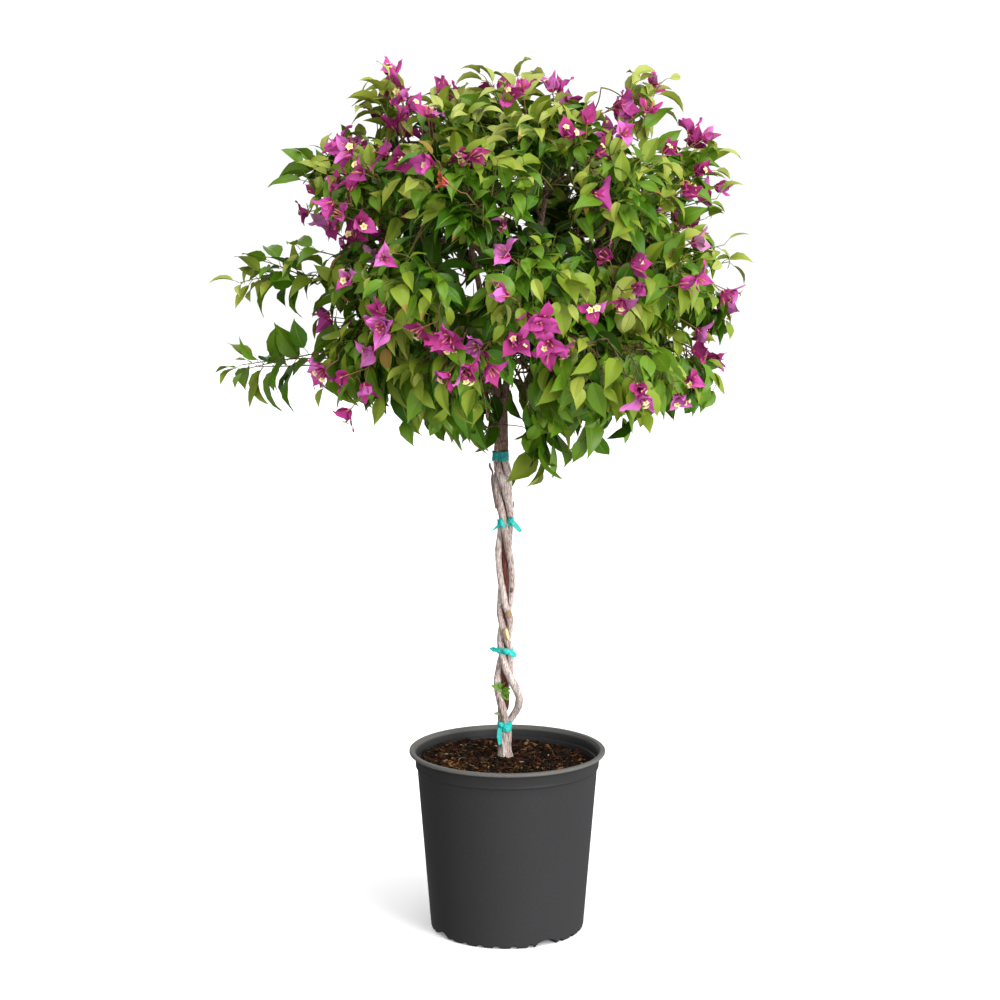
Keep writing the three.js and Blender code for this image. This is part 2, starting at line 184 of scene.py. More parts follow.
def smoothstep(value, low, high):
    """0 below low, 1 above high, and an S-shaped rise between."""
    t = np.clip((np.asarray(value, float) - low) / (high - low), 0, 1)
    return t * t * (3 - 2 * t)


def unit(vectors):
    """Each vector divided by its own length."""
    vectors = np.asarray(vectors, float)
    return vectors / np.maximum(np.linalg.norm(vectors, axis=-1, keepdims=True), 1e-9)


def round_ways(turn, rise=0.0):
    """Directions at angles about Z: the angle's cosine, its sine, and a rise, which may vary."""
    return np.stack([np.cos(turn), np.sin(turn), np.broadcast_to(rise, np.shape(turn))], -1)


def ripples(points, size, seed, waves=10):
    """A smooth uneven value about zero at each point: the sum of sine waves that run in random
    directions with lengths near `size`, divided by the root of their number."""
    draw = np.random.default_rng(seed)
    ways = unit(draw.normal(size=(waves, 3)))
    lengths = size * draw.uniform(0.7, 1.6, waves)
    starts = draw.uniform(0, 2 * math.pi, waves)
    phase = np.asarray(points) @ (ways * (2 * math.pi / lengths)[:, None]).T + starts
    return np.sin(phase).sum(-1) / math.sqrt(waves)


# %% Nets, tubes and pieces
def net_faces(rows, columns, closed=False):
    """Triangles of a net of rows x columns points. `closed` joins the last column to the first."""
    row = np.arange(rows - 1)[:, None]
    column = np.arange(columns if closed else columns - 1)[None, :]
    a = row * columns + column
    b = row * columns + (column + 1) % columns
    quads = np.stack([a, b, b + columns, a + columns], -1).reshape(-1, 4)
    return np.concatenate([quads[:, [0, 1, 2]], quads[:, [0, 2, 3]]])


def limb_faces(steps, sides):
    """Triangles of one closed limb: the net of its rings, and at each end a fan to one of the two
    points that follow the rings' own."""
    rim = np.arange(sides)
    after = (rim + 1) % sides
    last = (steps - 1) * sides
    foot = np.stack([after, rim, np.full(sides, steps * sides)], -1)
    head = np.stack([last + rim, last + after, np.full(sides, steps * sides + 1)], -1)
    return np.concatenate([net_faces(steps, sides, closed=True), foot, head])


def repeated(points, one):
    """Many shapes whose triangles are numbered alike, as one (points, faces) pair: points is
    (shapes, points of one, 3), and each shape's numbers start where the last one's points end."""
    starts = np.arange(len(points))[:, None, None] * points.shape[1]
    return points.reshape(-1, 3), (one[None] + starts).reshape(-1, 3)


def per_limb(shape, numbers):
    """A finish number for each triangle of a set of equal shapes, from one number per shape."""
    return np.repeat(numbers, len(shape[1]) // len(numbers))


def cross_ways(paths):
    """The forward direction and two directions across it, at each point of paths (count, steps, 3).
    The first is the world axis that the path runs along least, made square to the path."""
    forward = unit(np.gradient(paths, axis=1))
    chord = paths[:, -1] - paths[:, 0]
    axis = np.eye(3)[np.argmin(np.abs(chord), axis=1)][:, None]
    across = unit(axis - (axis * forward).sum(-1, keepdims=True) * forward)
    return forward, across, np.cross(forward, across)


def tubes(paths, radii, sides):
    """Closed round limbs along paths (count, steps, 3). Each ring's point is the path's point plus
    its radius times a direction that turns once round; radii is (count, steps) or has a value for
    each side too. Both ends are closed by a fan to the path's own end."""
    count, steps = paths.shape[:2]
    forward, across, beside = cross_ways(paths)
    turn = 2 * math.pi * np.arange(sides) / sides
    spoke = (across[:, :, None] * np.cos(turn)[:, None] + beside[:, :, None] * np.sin(turn)[:, None])
    radii = radii[..., None] if radii.ndim == 2 else radii
    rings = paths[:, :, None] + spoke * radii[..., None]
    points = np.concatenate([rings.reshape(count, -1, 3), paths[:, :1], paths[:, -1:]], axis=1)
    return repeated(points, limb_faces(steps, sides))


def curve_through(points, radii, steps):
    """A smooth curve of `steps` points that passes through the given ones evenly, and its radii:
    the uniform Catmull-Rom rule, which weighs the two points before and the two after."""
    share = np.linspace(0, len(points) - 1, steps)
    index = np.clip(share.astype(int), 0, len(points) - 2)
    t = (share - index)[:, None]
    before, here = points[np.maximum(index - 1, 0)], points[index]
    there, beyond = points[index + 1], points[np.minimum(index + 2, len(points) - 1)]
    path = 0.5 * (
        2 * here + (there - before) * t + (2 * before - 5 * here + 4 * there - beyond) * t**2
        + (3 * here - before - 3 * there + beyond) * t**3
    )
    return path, np.interp(share, np.arange(len(radii)), radii)


def one_limb(path, radii, sides):
    """A single limb along a path (steps, 3), as `tubes` makes them."""
    return tubes(path[None], radii[None], sides)


def joined(parts):
    """Several (points, faces) pairs as one, with the faces' numbers moved up to match."""
    starts = np.cumsum([0] + [len(points) for points, _ in parts[:-1]])
    points = np.concatenate([points for points, _ in parts])
    faces = np.concatenate([faces + start for (_, faces), start in zip(parts, starts)])
    return points, faces


def piece(name, shape, finishes, nodes=(), finish_of_face=0, smooth=True):
    """An object from (points, triangles). It rides on the plant's body, wears one or more finishes,
    one number per face, and hides the CAD nodes that are named, whose place it takes."""
    points, faces = shape
    mesh = bpy.data.meshes.new(name)
    mesh.vertices.add(len(points))
    mesh.vertices.foreach_set("co", np.asarray(points, np.float32).ravel())
    mesh.loops.add(faces.size)
    mesh.loops.foreach_set("vertex_index", faces.astype(np.int32).ravel())
    mesh.polygons.add(len(faces))
    mesh.polygons.foreach_set("loop_start", np.arange(0, faces.size, 3, dtype=np.int32))
    for finish in finishes:
        mesh.materials.append(finish)
    numbers = np.broadcast_to(np.asarray(finish_of_face, np.int32), len(faces))
    mesh.polygons.foreach_set("material_index", np.ascontiguousarray(numbers))
    mesh.polygons.foreach_set("use_smooth", np.full(len(faces), smooth))
    mesh.update(calc_edges=True)
    thing = bpy.data.objects.new(name, mesh)
    bpy.context.scene.collection.objects.link(thing)
    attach(thing, BODY)
    if nodes:
        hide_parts(*nodes)
    print(f"{name}: {len(faces)} triangles")


# %% [markdown]
# ## Helpers for finishes
# A finish is a Principled shader and a few nodes that vary its colour, roughness and height. Bark,
# soil and plastic all need the same kind of unevenness, so one node group makes it: a broad patch
# mask, a fine grain mask, and a height for the Bump node. Stretching the pattern along one axis
# turns patches into fibres.


# %% The shared unevenness group
def unevenness_group():
    """Two noises on Object coordinates. Inputs: the stretch along Z and the two pattern sizes.
    Outputs: Patches, Grain, and Height, which is mostly grain with a share of the patches."""
    tree = bpy.data.node_groups.new("unevenness", "ShaderNodeTree")
    for name, value in (("Along", 1.0), ("Patch Scale", 30.0), ("Grain Scale", 300.0)):
        socket = tree.interface.new_socket(name, in_out="INPUT", socket_type="NodeSocketFloat")
        socket.default_value = value
    for name in ("Patches", "Grain", "Height"):
        tree.interface.new_socket(name, in_out="OUTPUT", socket_type="NodeSocketFloat")
    given = new_node(tree, "NodeGroupInput").outputs
    place = new_node(tree, "ShaderNodeTexCoord").outputs["Object"]
    stretch = new_node(tree, "ShaderNodeCombineXYZ", {"X": 1, "Y": 1, "Z": given["Along"]})
    scaled = new_node(tree, "ShaderNodeVectorMath", {0: place, 1: stretch.outputs[0]})
    scaled.operation = "MULTIPLY"
    masks = []
    for name, detail in (("Patch", 3), ("Grain", 5)):
        noise = {"Vector": scaled.outputs[0], "Scale": given[f"{name} Scale"], "Detail": detail}
        masks.append(new_node(tree, "ShaderNodeTexNoise", noise).outputs["Fac"])
    patches, grain = masks
    height = new_node(tree, "ShaderNodeMix", {"Factor": 0.7, "A": patches, "B": grain})
    made = {"Patches": patches, "Grain": grain, "Height": height.outputs["Result"]}
    new_node(tree, "NodeGroupOutput", made)
    return tree


UNEVENNESS = unevenness_group()


# %% Colours and finishes
def paint(red, green, blue):
    """A colour mixed as on a screen, 0 to 255, in the linear values that a shader needs."""
    share = np.array([red, green, blue]) / 255
    linear = np.where(share <= 0.04045, share / 12.92, ((share + 0.055) / 1.055) ** 2.4)
    return (*linear.tolist(), 1.0)


def plain_finish(name, colour, roughness, specular=0.5):
    """One even colour, for small things in many tints: leaves, bracts and crumbs of soil."""
    finish = bpy.data.materials.new(name)
    finish.use_nodes = True
    look = {"Base Color": paint(*colour), "Roughness": roughness, "Specular IOR Level": specular}
    wire(finish.node_tree.nodes["Principled BSDF"], look)
    return finish


def ramp_between(tree, mask, stops):
    """A colour ramp on a mask: stops are (place, colour) pairs."""
    ramp = new_node(tree, "ShaderNodeValToRGB", {"Fac": mask})
    elements = ramp.color_ramp.elements
    while len(elements) < len(stops):
        elements.new(0.5)
    for element, (place, colour) in zip(elements, stops):
        element.position = place
        element.color = paint(*colour)
    return ramp.outputs["Color"]


def uneven_finish(name, stops, roughness, along, patch_scale, grain_scale, bump, bump_depth, specular=0.25):
    """A finish whose colour runs through `stops` by patches and grain, with bump from the same
    height. Scales count patterns in a metre, and `along` below 1 draws them out along Z."""
    finish = bpy.data.materials.new(name)
    finish.use_nodes = True
    tree = finish.node_tree
    uneven = new_node(tree, "ShaderNodeGroup")
    uneven.node_tree = UNEVENNESS
    wire(uneven, {"Along": along, "Patch Scale": patch_scale, "Grain Scale": grain_scale})
    height, patches = uneven.outputs["Height"], uneven.outputs["Patches"]
    relief = new_node(tree, "ShaderNodeBump", {"Height": height, "Strength": bump, "Distance": bump_depth})
    wire(tree.nodes["Principled BSDF"], {
        "Base Color": ramp_between(tree, height, stops),
        "Roughness": scaled_value(tree, patches, 0.35, 0.65, roughness - 0.08, roughness + 0.08),
        "Specular IOR Level": specular, "Normal": relief.outputs["Normal"],
    })
    return finish


FLOOR_GLOW = 0.10
white = plain_finish("studio_white", (253, 253, 253), 0.95, 0.0)
glow = {"Emission Color": (1, 1, 1, 1), "Emission Strength": FLOOR_GLOW}
wire(white.node_tree.nodes["Principled BSDF"], glow)
floor.data.materials.append(white)
print("helpers are ready")

# %% [markdown]
# ## The pot
# A thin blow-moulded nursery pot. Its wall widens from the foot to a soft step, where a short collar
# carries the rolled lip. The foot stands on a ring that is broken by four arches, which let water
# out, and by small moulded notches between them. The whole pot is one profile carried round the
# axis. Where a notch or an arch is, the points of the foot are lifted to its height.

# %% The pot's profile
POT_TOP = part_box("pot")[1].z + 0.0015
LIP_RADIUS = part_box("pot")[1].x + 0.0006
BASE_RADIUS = 0.1015
WALL_TOP_RADIUS = 0.1192
COLLAR_RADIUS = 0.1215
COLLAR_FOOT = 0.2185
LIP_FOOT = 0.2365
LIP_INNER_RADIUS = 0.1226
POT_WALL = 0.002
ARCHES = 4
ARCH_HALF = 0.0165
ARCH_HEIGHT = 0.0085
ARCH_REACH = 0.022
FIRST_ARCH = math.radians(-59.4)
NOTCHES_BETWEEN = 6
NOTCH_STEP = math.radians(12.86)
NOTCH_HALF = 0.0052
NOTCH_HEIGHT = 0.0052
NOTCH_REACH = 0.010
ARCH_MIDDLES = [FIRST_ARCH + quarter * 2 * math.pi / ARCHES for quarter in range(ARCHES)]
NOTCH_OFFSETS = [
    math.pi / ARCHES + (notch - (NOTCHES_BETWEEN - 1) / 2) * NOTCH_STEP for notch in range(NOTCHES_BETWEEN)
]
LIFTED_BELOW = 0.0125


def wall_radius(height):
    """Outer radius of the wall: straight from the foot to the collar."""
    return lerp(BASE_RADIUS, WALL_TOP_RADIUS, height / COLLAR_FOOT)


def quarter_round(centre, radius, start, end, steps=5):
    """Points (radius, height) of an arc about `centre`, between two angles in degrees."""
    turn = np.radians(np.linspace(start, end, steps))
    return np.stack([centre[0] + radius * np.cos(turn), centre[1] + radius * np.sin(turn)], -1)


def pot_profile():
    """Rows of (radius, height) from the middle of the underside, out and up the wall, over the
    lip, and down the inside to the middle of the floor."""
    edge, bead, lip = 0.004, 0.0016, 0.0022
    heights = np.array([0.005, 0.0065, 0.008, 0.0095, 0.012, 0.03, 0.06, 0.1, 0.14, 0.18, 0.205])
    wall = np.stack([wall_radius(heights), heights], -1)
    step = quarter_round((WALL_TOP_RADIUS + bead * 0.3, COLLAR_FOOT + bead), bead, -80, 60, 7)
    inner_wall = wall[::-1] - (POT_WALL, 0)
    rows = [
        [(0, 0), (BASE_RADIUS - 0.03, 0), (BASE_RADIUS - ARCH_REACH - 0.0002, 0)],
        [(BASE_RADIUS - ARCH_REACH, 0), (BASE_RADIUS - NOTCH_REACH - 0.0002, 0)],
        [(BASE_RADIUS - NOTCH_REACH, 0)],
        quarter_round((wall_radius(edge) - edge, edge), edge, -90, 0),
        wall,
        [(WALL_TOP_RADIUS - 0.0003, COLLAR_FOOT - 0.002)],
        step,
        [(COLLAR_RADIUS - 0.0012, COLLAR_FOOT + 0.0040), (COLLAR_RADIUS, COLLAR_FOOT + 0.0062)],
        [(COLLAR_RADIUS, LIP_FOOT - 0.0016), (COLLAR_RADIUS + 0.0005, LIP_FOOT - 0.0004)],
        [(COLLAR_RADIUS + 0.0016, LIP_FOOT)],
        quarter_round((LIP_RADIUS - lip, LIP_FOOT + lip), lip, -90, 0),
        quarter_round((LIP_RADIUS - lip, POT_TOP - lip), lip, 10, 90),
        quarter_round((LIP_INNER_RADIUS + lip, POT_TOP - lip), lip, 90, 170),
        [(LIP_INNER_RADIUS - 0.0008, LIP_FOOT + 0.0004), (COLLAR_RADIUS - POT_WALL, LIP_FOOT - 0.002)],
        [(COLLAR_RADIUS - POT_WALL, COLLAR_FOOT + 0.0085)],
        quarter_round((COLLAR_RADIUS - POT_WALL - 0.0015, COLLAR_FOOT + 0.0075), 0.0015, 20, 90, 4),
        [(WALL_TOP_RADIUS - POT_WALL - 0.0006, COLLAR_FOOT + 0.0088)],
        [(WALL_TOP_RADIUS - POT_WALL - 0.0012, COLLAR_FOOT + 0.0078)],
        [(WALL_TOP_RADIUS - POT_WALL - 0.0012, COLLAR_FOOT - 0.002)],
        inner_wall[:-5],
        [(wall_radius(0.014) - POT_WALL - 0.003, 0.014), (0, 0.014)],
    ]
    return np.concatenate([np.asarray(part, float).reshape(-1, 2) for part in rows])


def foot_gap(turn, radius):
    """Height to which the foot is lifted at an angle and a radius. An arch is the upper half of an
    ellipse, and a notch is a low hump; each runs in from the wall by its own reach."""
    gap = np.zeros(np.broadcast_shapes(turn.shape, radius.shape))
    for middle in ARCH_MIDDLES:
        aside = BASE_RADIUS * np.angle(np.exp(1j * (turn - middle)))
        arch = ARCH_HEIGHT * np.sqrt(np.maximum(1 - (aside / ARCH_HALF) ** 2, 0))
        gap = np.maximum(gap, arch * (radius >= BASE_RADIUS - ARCH_REACH))
        for off in NOTCH_OFFSETS:
            aside = BASE_RADIUS * np.angle(np.exp(1j * (turn - middle - off)))
            hump = NOTCH_HEIGHT * np.maximum(1 - (aside / NOTCH_HALF) ** 2, 0)
            gap = np.maximum(gap, hump * (radius >= BASE_RADIUS - NOTCH_REACH))
    return gap


def pot_turns():
    """Angles round the pot: even steps, and extra ones at both sides of each notch and arch."""
    turns = [np.linspace(0, 2 * math.pi, 288, endpoint=False)]
    bow = ARCH_HALF * np.sin(np.linspace(-math.pi / 2, math.pi / 2, 19))
    sides = np.linspace(-1, 1, 9) * NOTCH_HALF / BASE_RADIUS
    for middle in ARCH_MIDDLES:
        turns.append(middle + bow / BASE_RADIUS)
        for off in NOTCH_OFFSETS:
            turns.append(middle + off + sides)
    return np.unique(np.round(np.concatenate(turns) % (2 * math.pi), 6))


def turned_shape(profile, turns, lift):
    """A profile of (radius, height) rows carried round the axis. Each height is at least the lift
    at its angle and radius; the first and last rows lie on the axis and close the shape."""
    radius, height = profile[:, :1], profile[:, 1:]
    raised = np.maximum(height, lift(turns[None], radius))
    raised = np.where(height < LIFTED_BELOW, raised, height)
    points = np.stack([radius * np.cos(turns), radius * np.sin(turns), raised], -1)
    return points.reshape(-1, 3), net_faces(len(profile), len(turns), closed=True)


# %% Pot finish: moulded black plastic, dusty along the lip
def pot_finish():
    """Charcoal plastic. Soft patches change its gloss, fine grain its height, and a pale dust
    covers the lip, where the mask is the height above the collar broken up by the grain."""
    finish = uneven_finish(
        "moulded_charcoal_plastic", [(0.3, (41, 41, 42)), (0.7, (49, 49, 50))],
        0.46, 0.6, 9, 900, 0.06, 0.0004, 0.08,
    )
    tree = finish.node_tree
    base = tree.nodes["Principled BSDF"].inputs["Base Color"]
    uneven = next(node for node in tree.nodes if node.type == "GROUP")
    place = new_node(tree, "ShaderNodeTexCoord").outputs["Object"]
    parts = new_node(tree, "ShaderNodeSeparateXYZ", {0: place})
    high = scaled_value(tree, parts.outputs["Z"], LIP_FOOT - 0.001, LIP_FOOT + 0.0015, 0, 1)
    broken = scaled_value(tree, uneven.outputs["Grain"], 0.30, 0.62, 0.55, 1)
    dust = new_node(tree, "ShaderNodeMath", {0: high, 1: broken})
    dust.operation = "MULTIPLY"
    dusty = new_node(tree, "ShaderNodeMix")
    dusty.data_type = "RGBA"
    wire(dusty, {"Factor": dust.outputs[0], 6: base.links[0].from_socket, 7: paint(98, 97, 93)})
    tree.links.new(dusty.outputs[2], base)
    return finish


pot_shape = turned_shape(pot_profile(), pot_turns(), foot_gap)
piece("pot_shell", pot_shape, [pot_finish()], ["pot"])

# %% [markdown]
# ## The potting soil
# Composted bark: a dark, crumbly surface with flakes of bark, fibres and a few pale bits on it. The
# bed is a disc whose height is a broad slope with smaller and smaller ripples on it. On the bed lie
# three kinds of loose pieces, each a small closed shape copied many times with its own size, turn
# and corners, and joined into one mesh. Their colours are plain and dealt out piece by piece.

# %% The soil bed
SOIL_LEVEL = 0.222
SOIL_SLOPE = 0.008
SOIL_RADIUS = WALL_TOP_RADIUS - POT_WALL - 0.0020
SOIL_UNDERSIDE = 0.2
STEM_FOOT = np.array([-0.0028, 0.031])
SOIL_FLAT, SOIL_FREE = 0.018, 0.050


def soil_height(x, y):
    """Height of the bed: level at the stem, sloping down from the back left, with slow lumps."""
    away = smoothstep(np.hypot(x - STEM_FOOT[0], y - STEM_FOOT[1]), SOIL_FLAT, SOIL_FREE)
    slope = (-0.75 * x + 0.25 * y) / WALL_TOP_RADIUS
    flat = np.stack([x, y, np.zeros_like(x)], -1)
    lumps = 0.0012 * ripples(flat, 0.045, 41) + 0.0012 * ripples(flat, 0.016, 42)
    crumbs = 0.0011 * ripples(flat, 0.0065, 43)
    return SOIL_LEVEL + away * (SOIL_SLOPE * slope + lumps) + crumbs


def soil_bed():
    """Rings from the middle of the top out to the wall, then down and in to close underneath."""
    turns = np.linspace(0, 2 * math.pi, 220, endpoint=False)
    reach = SOIL_RADIUS * np.linspace(0, 1, 52) ** 0.8
    radius = np.concatenate([reach, [SOIL_RADIUS * 0.99, 0]])[::-1, None]
    x, y = radius * np.cos(turns), radius * np.sin(turns)
    height = soil_height(x, y)
    height[:2] = SOIL_UNDERSIDE
    points = np.stack([x, y, height], -1).reshape(-1, 3)
    return points, net_faces(len(radius), len(turns), closed=True)


SOIL_DARK = uneven_finish(
    "damp_compost", [(0.36, (13, 7, 3)), (0.5, (28, 17, 10)), (0.66, (54, 37, 24))],
    0.9, 1, 160, 900, 0.9, 0.0012, 0.1,
)
piece("soil_bed", soil_bed(), [SOIL_DARK], ["soil"])


# %% Loose pieces on the soil
def scattered_on_soil(count, seed, clear=0.010):
    """Random places on the bed, evenly over its area, clear of the stem."""
    draw = np.random.default_rng(seed)
    radius = (SOIL_RADIUS - 0.004) * np.sqrt(draw.uniform(0, 1, 3 * count))
    turn = draw.uniform(0, 2 * math.pi, 3 * count)
    x, y = radius * np.cos(turn), radius * np.sin(turn)
    free = np.hypot(x - STEM_FOOT[0], y - STEM_FOOT[1]) > clear
    x, y = x[free][:count], y[free][:count]
    return np.stack([x, y, soil_height(x, y)], -1), draw


def turned_blocks(centres, sizes, draw, lean, jitter):
    """Small six-sided blocks with uneven corners. Each corner is the block's half size times
    -1 or 1 along its own three directions, and those directions are turned about Z and leaned."""
    count = len(centres)
    corner = np.array([[x, y, z] for z in (-1, 1) for y in (-1, 1) for x in (-1, 1)], float)
    shape = corner * (1 + jitter * draw.uniform(-1, 1, (count, 8, 3)))
    shape[..., 1] *= np.where(shape[..., 0] > 0, 0.55, 1.0)
    turn = draw.uniform(0, 2 * math.pi, count)
    tilt_x, tilt_y = lean * draw.normal(size=count), lean * draw.normal(size=count)
    up = unit(np.stack([tilt_x, tilt_y, np.ones(count)], -1))
    along = round_ways(turn)
    along = unit(along - (along * up).sum(-1, keepdims=True) * up)
    ways = np.stack([along, np.cross(up, along), up], 1)
    points = centres[:, None] + np.einsum("nci,nij->ncj", shape * sizes[:, None] / 2, ways)
    box = np.array([
        [0, 2, 3], [0, 3, 1], [4, 5, 7], [4, 7, 6], [0, 1, 5], [0, 5, 4],
        [2, 6, 7], [2, 7, 3], [0, 4, 6], [0, 6, 2], [1, 3, 7], [1, 7, 5],
    ])
    return repeated(points, box)


SOIL_TINTS = [
    plain_finish("compost_black", (14, 8, 4), 0.9, 0.1),
    plain_finish("compost_brown", (34, 21, 12), 0.9, 0.1),
    plain_finish("bark_flake_brown", (62, 41, 22), 0.85, 0.12),
    plain_finish("bark_flake_tan", (112, 74, 34), 0.8, 0.15),
    plain_finish("bark_flake_red", (62, 24, 15), 0.85, 0.12),
    plain_finish("pale_grit", (142, 120, 88), 0.8, 0.15),
]


def dealt(draw, count, shape, shares):
    """A finish number for each triangle: every piece draws one number by the given shares."""
    return per_limb(shape, draw.choice(len(shares), count, p=np.array(shares) / sum(shares)))


CLODS, FLAKES, FIBRES = 3800, 760, 220
centres, draw = scattered_on_soil(CLODS, 51)
clod_sizes = draw.uniform(0.0018, 0.0042, (CLODS, 1)) * draw.uniform(0.6, 1.2, (CLODS, 3))
clods = turned_blocks(centres, clod_sizes, draw, lean=0.9, jitter=0.35)
clod_tints = dealt(draw, CLODS, clods, (46, 36, 11, 3, 3, 1))
piece("soil_clods", clods, SOIL_TINTS, (), clod_tints, smooth=False)

centres, draw = scattered_on_soil(FLAKES, 52)
centres[:, 2] += 0.0006
flake_length = draw.uniform(0.005, 0.013, FLAKES)
flake_width = flake_length * draw.uniform(0.3, 0.6, FLAKES)
flake_sizes = np.stack([flake_length, flake_width, draw.uniform(0.001, 0.0024, FLAKES)], -1)
flakes = turned_blocks(centres, flake_sizes, draw, lean=0.42, jitter=0.3)
flake_tints = dealt(draw, FLAKES, flakes, (22, 36, 22, 10, 7, 3))
piece("bark_flakes", flakes, SOIL_TINTS, (), flake_tints, smooth=False)

centres, draw = scattered_on_soil(FIBRES, 53)
centres = centres[:, None]
fibre_turn = draw.uniform(0, 2 * math.pi, FIBRES)
fibre_way = round_ways(fibre_turn, draw.uniform(-0.1, 0.3, FIBRES))
fibre_side = np.stack([-np.sin(fibre_turn), np.cos(fibre_turn), draw.uniform(0, 0.5, FIBRES)], -1)
steps = np.linspace(-0.5, 0.5, 6)[None, :, None]
fibre_length = draw.uniform(0.008, 0.022, FIBRES)[:, None, None]
fibre_bow = (0.25 - steps**2) * fibre_side[:, None]
fibre_paths = centres + fibre_length * (steps * fibre_way[:, None] + fibre_bow)
fibre_paths[..., 2] += 0.0012
fibre_reach = np.hypot(fibre_paths[..., 0], fibre_paths[..., 1]).max(1) < SOIL_RADIUS
fibre_paths = fibre_paths[fibre_reach]
fibre_radii = np.broadcast_to(np.array([0.3, 0.7, 1, 0.9, 0.6, 0.2]) * 0.00036, fibre_paths.shape[:2])
fibres = tubes(fibre_paths, fibre_radii, 4)
fibre_tints = dealt(draw, len(fibre_paths), fibres, (10, 20, 30, 30, 5, 5))
piece("soil_fibres", fibres, SOIL_TINTS, (), fibre_tints)

# %% [markdown]
# ## The braided trunk
# One short rooted stem carries three strands that were twisted round each other while they were
# green. They are pressed together at each tie and swell apart between ties, so dark gaps and the
# thin dead core show through. Each strand's path turns round the trunk's axis; the angle follows
# the heights at which strand after strand passes the front. The bark's relief is in the mesh: the
# radius is varied by slow lumps, by ridges that follow the grain, and by fine wrinkles.

# %% The trunk's axis and the strands' paths
STEM_TOP = 0.262
BRAID_TOP = 0.634
FORK_HEIGHT = 0.700
FOOT_HEIGHT = 0.2223
AXIS_TOP = np.array([-0.008, 0.018])
# For each length between two ties, from the top down: how far the strands swing out, the power that
# places the belly of the swing, and how much thicker they are there.
TIE_HEIGHTS = (0.6293, 0.5405, 0.368, 0.2645)
TIE_SWELL = (0.0026, 0.0032, 0.0046)
BELLIES = (1.0, 1.55, 1.0)
STRAND_SWELL = (0.0015, -0.0003, 0.0006)
# The heights at which one strand after another passes the front.
FRONT_CROSSINGS = (0.640, 0.5985, 0.5306, 0.4317, 0.3913, 0.351, 0.275, 0.215)
STRAND_RADIUS = 0.0044
# How far a strand's axis stands from the trunk's: at the foot, at a tie, and in the front's loop.
FOOT_REACH, TIE_REACH, LOOP_REACH = 0.0049, 0.0062, 0.0095


def trunk_axis(height):
    """The axis leans forward as it rises, and steps to the left near the top of the braid."""
    height = np.asarray(height, float)
    along = (height - FOOT_HEIGHT) / (FORK_HEIGHT - FOOT_HEIGHT)
    x = lerp(STEM_FOOT[0], AXIS_TOP[0], smoothstep(height, 0.540, 0.632))
    return np.stack([x, lerp(STEM_FOOT[1], AXIS_TOP[1], along), height], -1)


def between_ties(height, amounts, bellies=BELLIES):
    """A wave between each two ties: 0 at a tie, and the section's amount at its belly. The belly is
    half way between the ties for the power 1, higher up for more, and lower down for less."""
    wave = np.zeros_like(height)
    for upper, lower, amount, belly in zip(TIE_HEIGHTS, TIE_HEIGHTS[1:], amounts, bellies):
        share = np.clip((height - lower) / (upper - lower), 0, 1)
        wave += amount * np.sin(math.pi * share**belly) ** 2
    return wave


def twist(height):
    """The braid's turn at a height, in radians: a third of a turn from one crossing to the next."""
    crossings = np.interp(-height, [-h for h in FRONT_CROSSINGS], range(len(FRONT_CROSSINGS)))
    return np.radians(-90 + (crossings - 2) * 120)


def strand_path(strand, height):
    """Points of a strand's own axis: the trunk's axis plus a reach in the direction of its turn."""
    settled = smoothstep(height, STEM_TOP, STEM_TOP + 0.02)
    reach = lerp(FOOT_REACH, TIE_REACH, settled) + between_ties(height, TIE_SWELL)
    if strand == 0:
        reach = reach + between_ties(height, (0, 0, LOOP_REACH), (1, 1, 0.62))
    turn = twist(height) - strand * 2 * math.pi / 3
    return trunk_axis(height) + reach[..., None] * round_ways(turn)


# %% Bark relief
def bark_radii(path, base, sides, seed, lumps=0.07, ridges=0.08, wrinkles=0.025, ridge_count=7):
    """Radii (steps, sides) of a limb with bark: its base radius times one plus lumps that change
    slowly, ridges that run along the grain, and fine wrinkles across it."""
    run = np.concatenate([[0], np.cumsum(np.linalg.norm(np.diff(path, axis=0), axis=-1))])
    turn = 2 * math.pi * np.arange(sides) / sides
    spiral = turn[None] + 18 * run[:, None]
    ring, along = round_ways(spiral), run[:, None, None] * np.array([0, 0, 1])
    slow = ripples(ring * 0.008 + along, 0.026, seed)
    grain = ripples(ring * ridge_count * 0.002 + along * 0.12, 0.006, seed + 1)
    fine = ripples(ring * 0.006 + along * 1.6, 0.0022, seed + 2)
    return base[:, None] * (1 + lumps * slow + ridges * grain + wrinkles * fine)


def barked_limb(path, base, sides, seed, **relief):
    """One closed limb with bark relief along a path (steps, 3), with a base radius at each step."""
    return one_limb(path, bark_radii(path, base, sides, seed, **relief), sides)


PALE_BARK = uneven_finish(
    "pale_peeling_bark",
    [(0.34, (84, 64, 56)), (0.44, (150, 130, 122)), (0.54, (190, 176, 170)), (0.66, (226, 219, 215))],
    0.8, 0.09, 130, 900, 0.9, 0.0010,
)
# The bark of the neck and the boughs: browner than the braid's own, and its colours are also painted
# darker, as painted shade from the crown above them.
DARK_BARK_AND_SHADE = uneven_finish(
    "dark_upper_bark_and_shade",
    [(0.30, (54, 38, 30)), (0.45, (102, 78, 66)), (0.60, (142, 118, 100)), (0.72, (174, 154, 132))],
    0.8, 0.3, 170, 800, 0.7, 0.0008,
)
HEART_WOOD = uneven_finish(
    "dead_heart_wood", [(0.34, (36, 18, 14)), (0.52, (88, 46, 36)), (0.70, (120, 74, 58))],
    0.85, 0.2, 220, 900, 0.7, 0.0006,
)

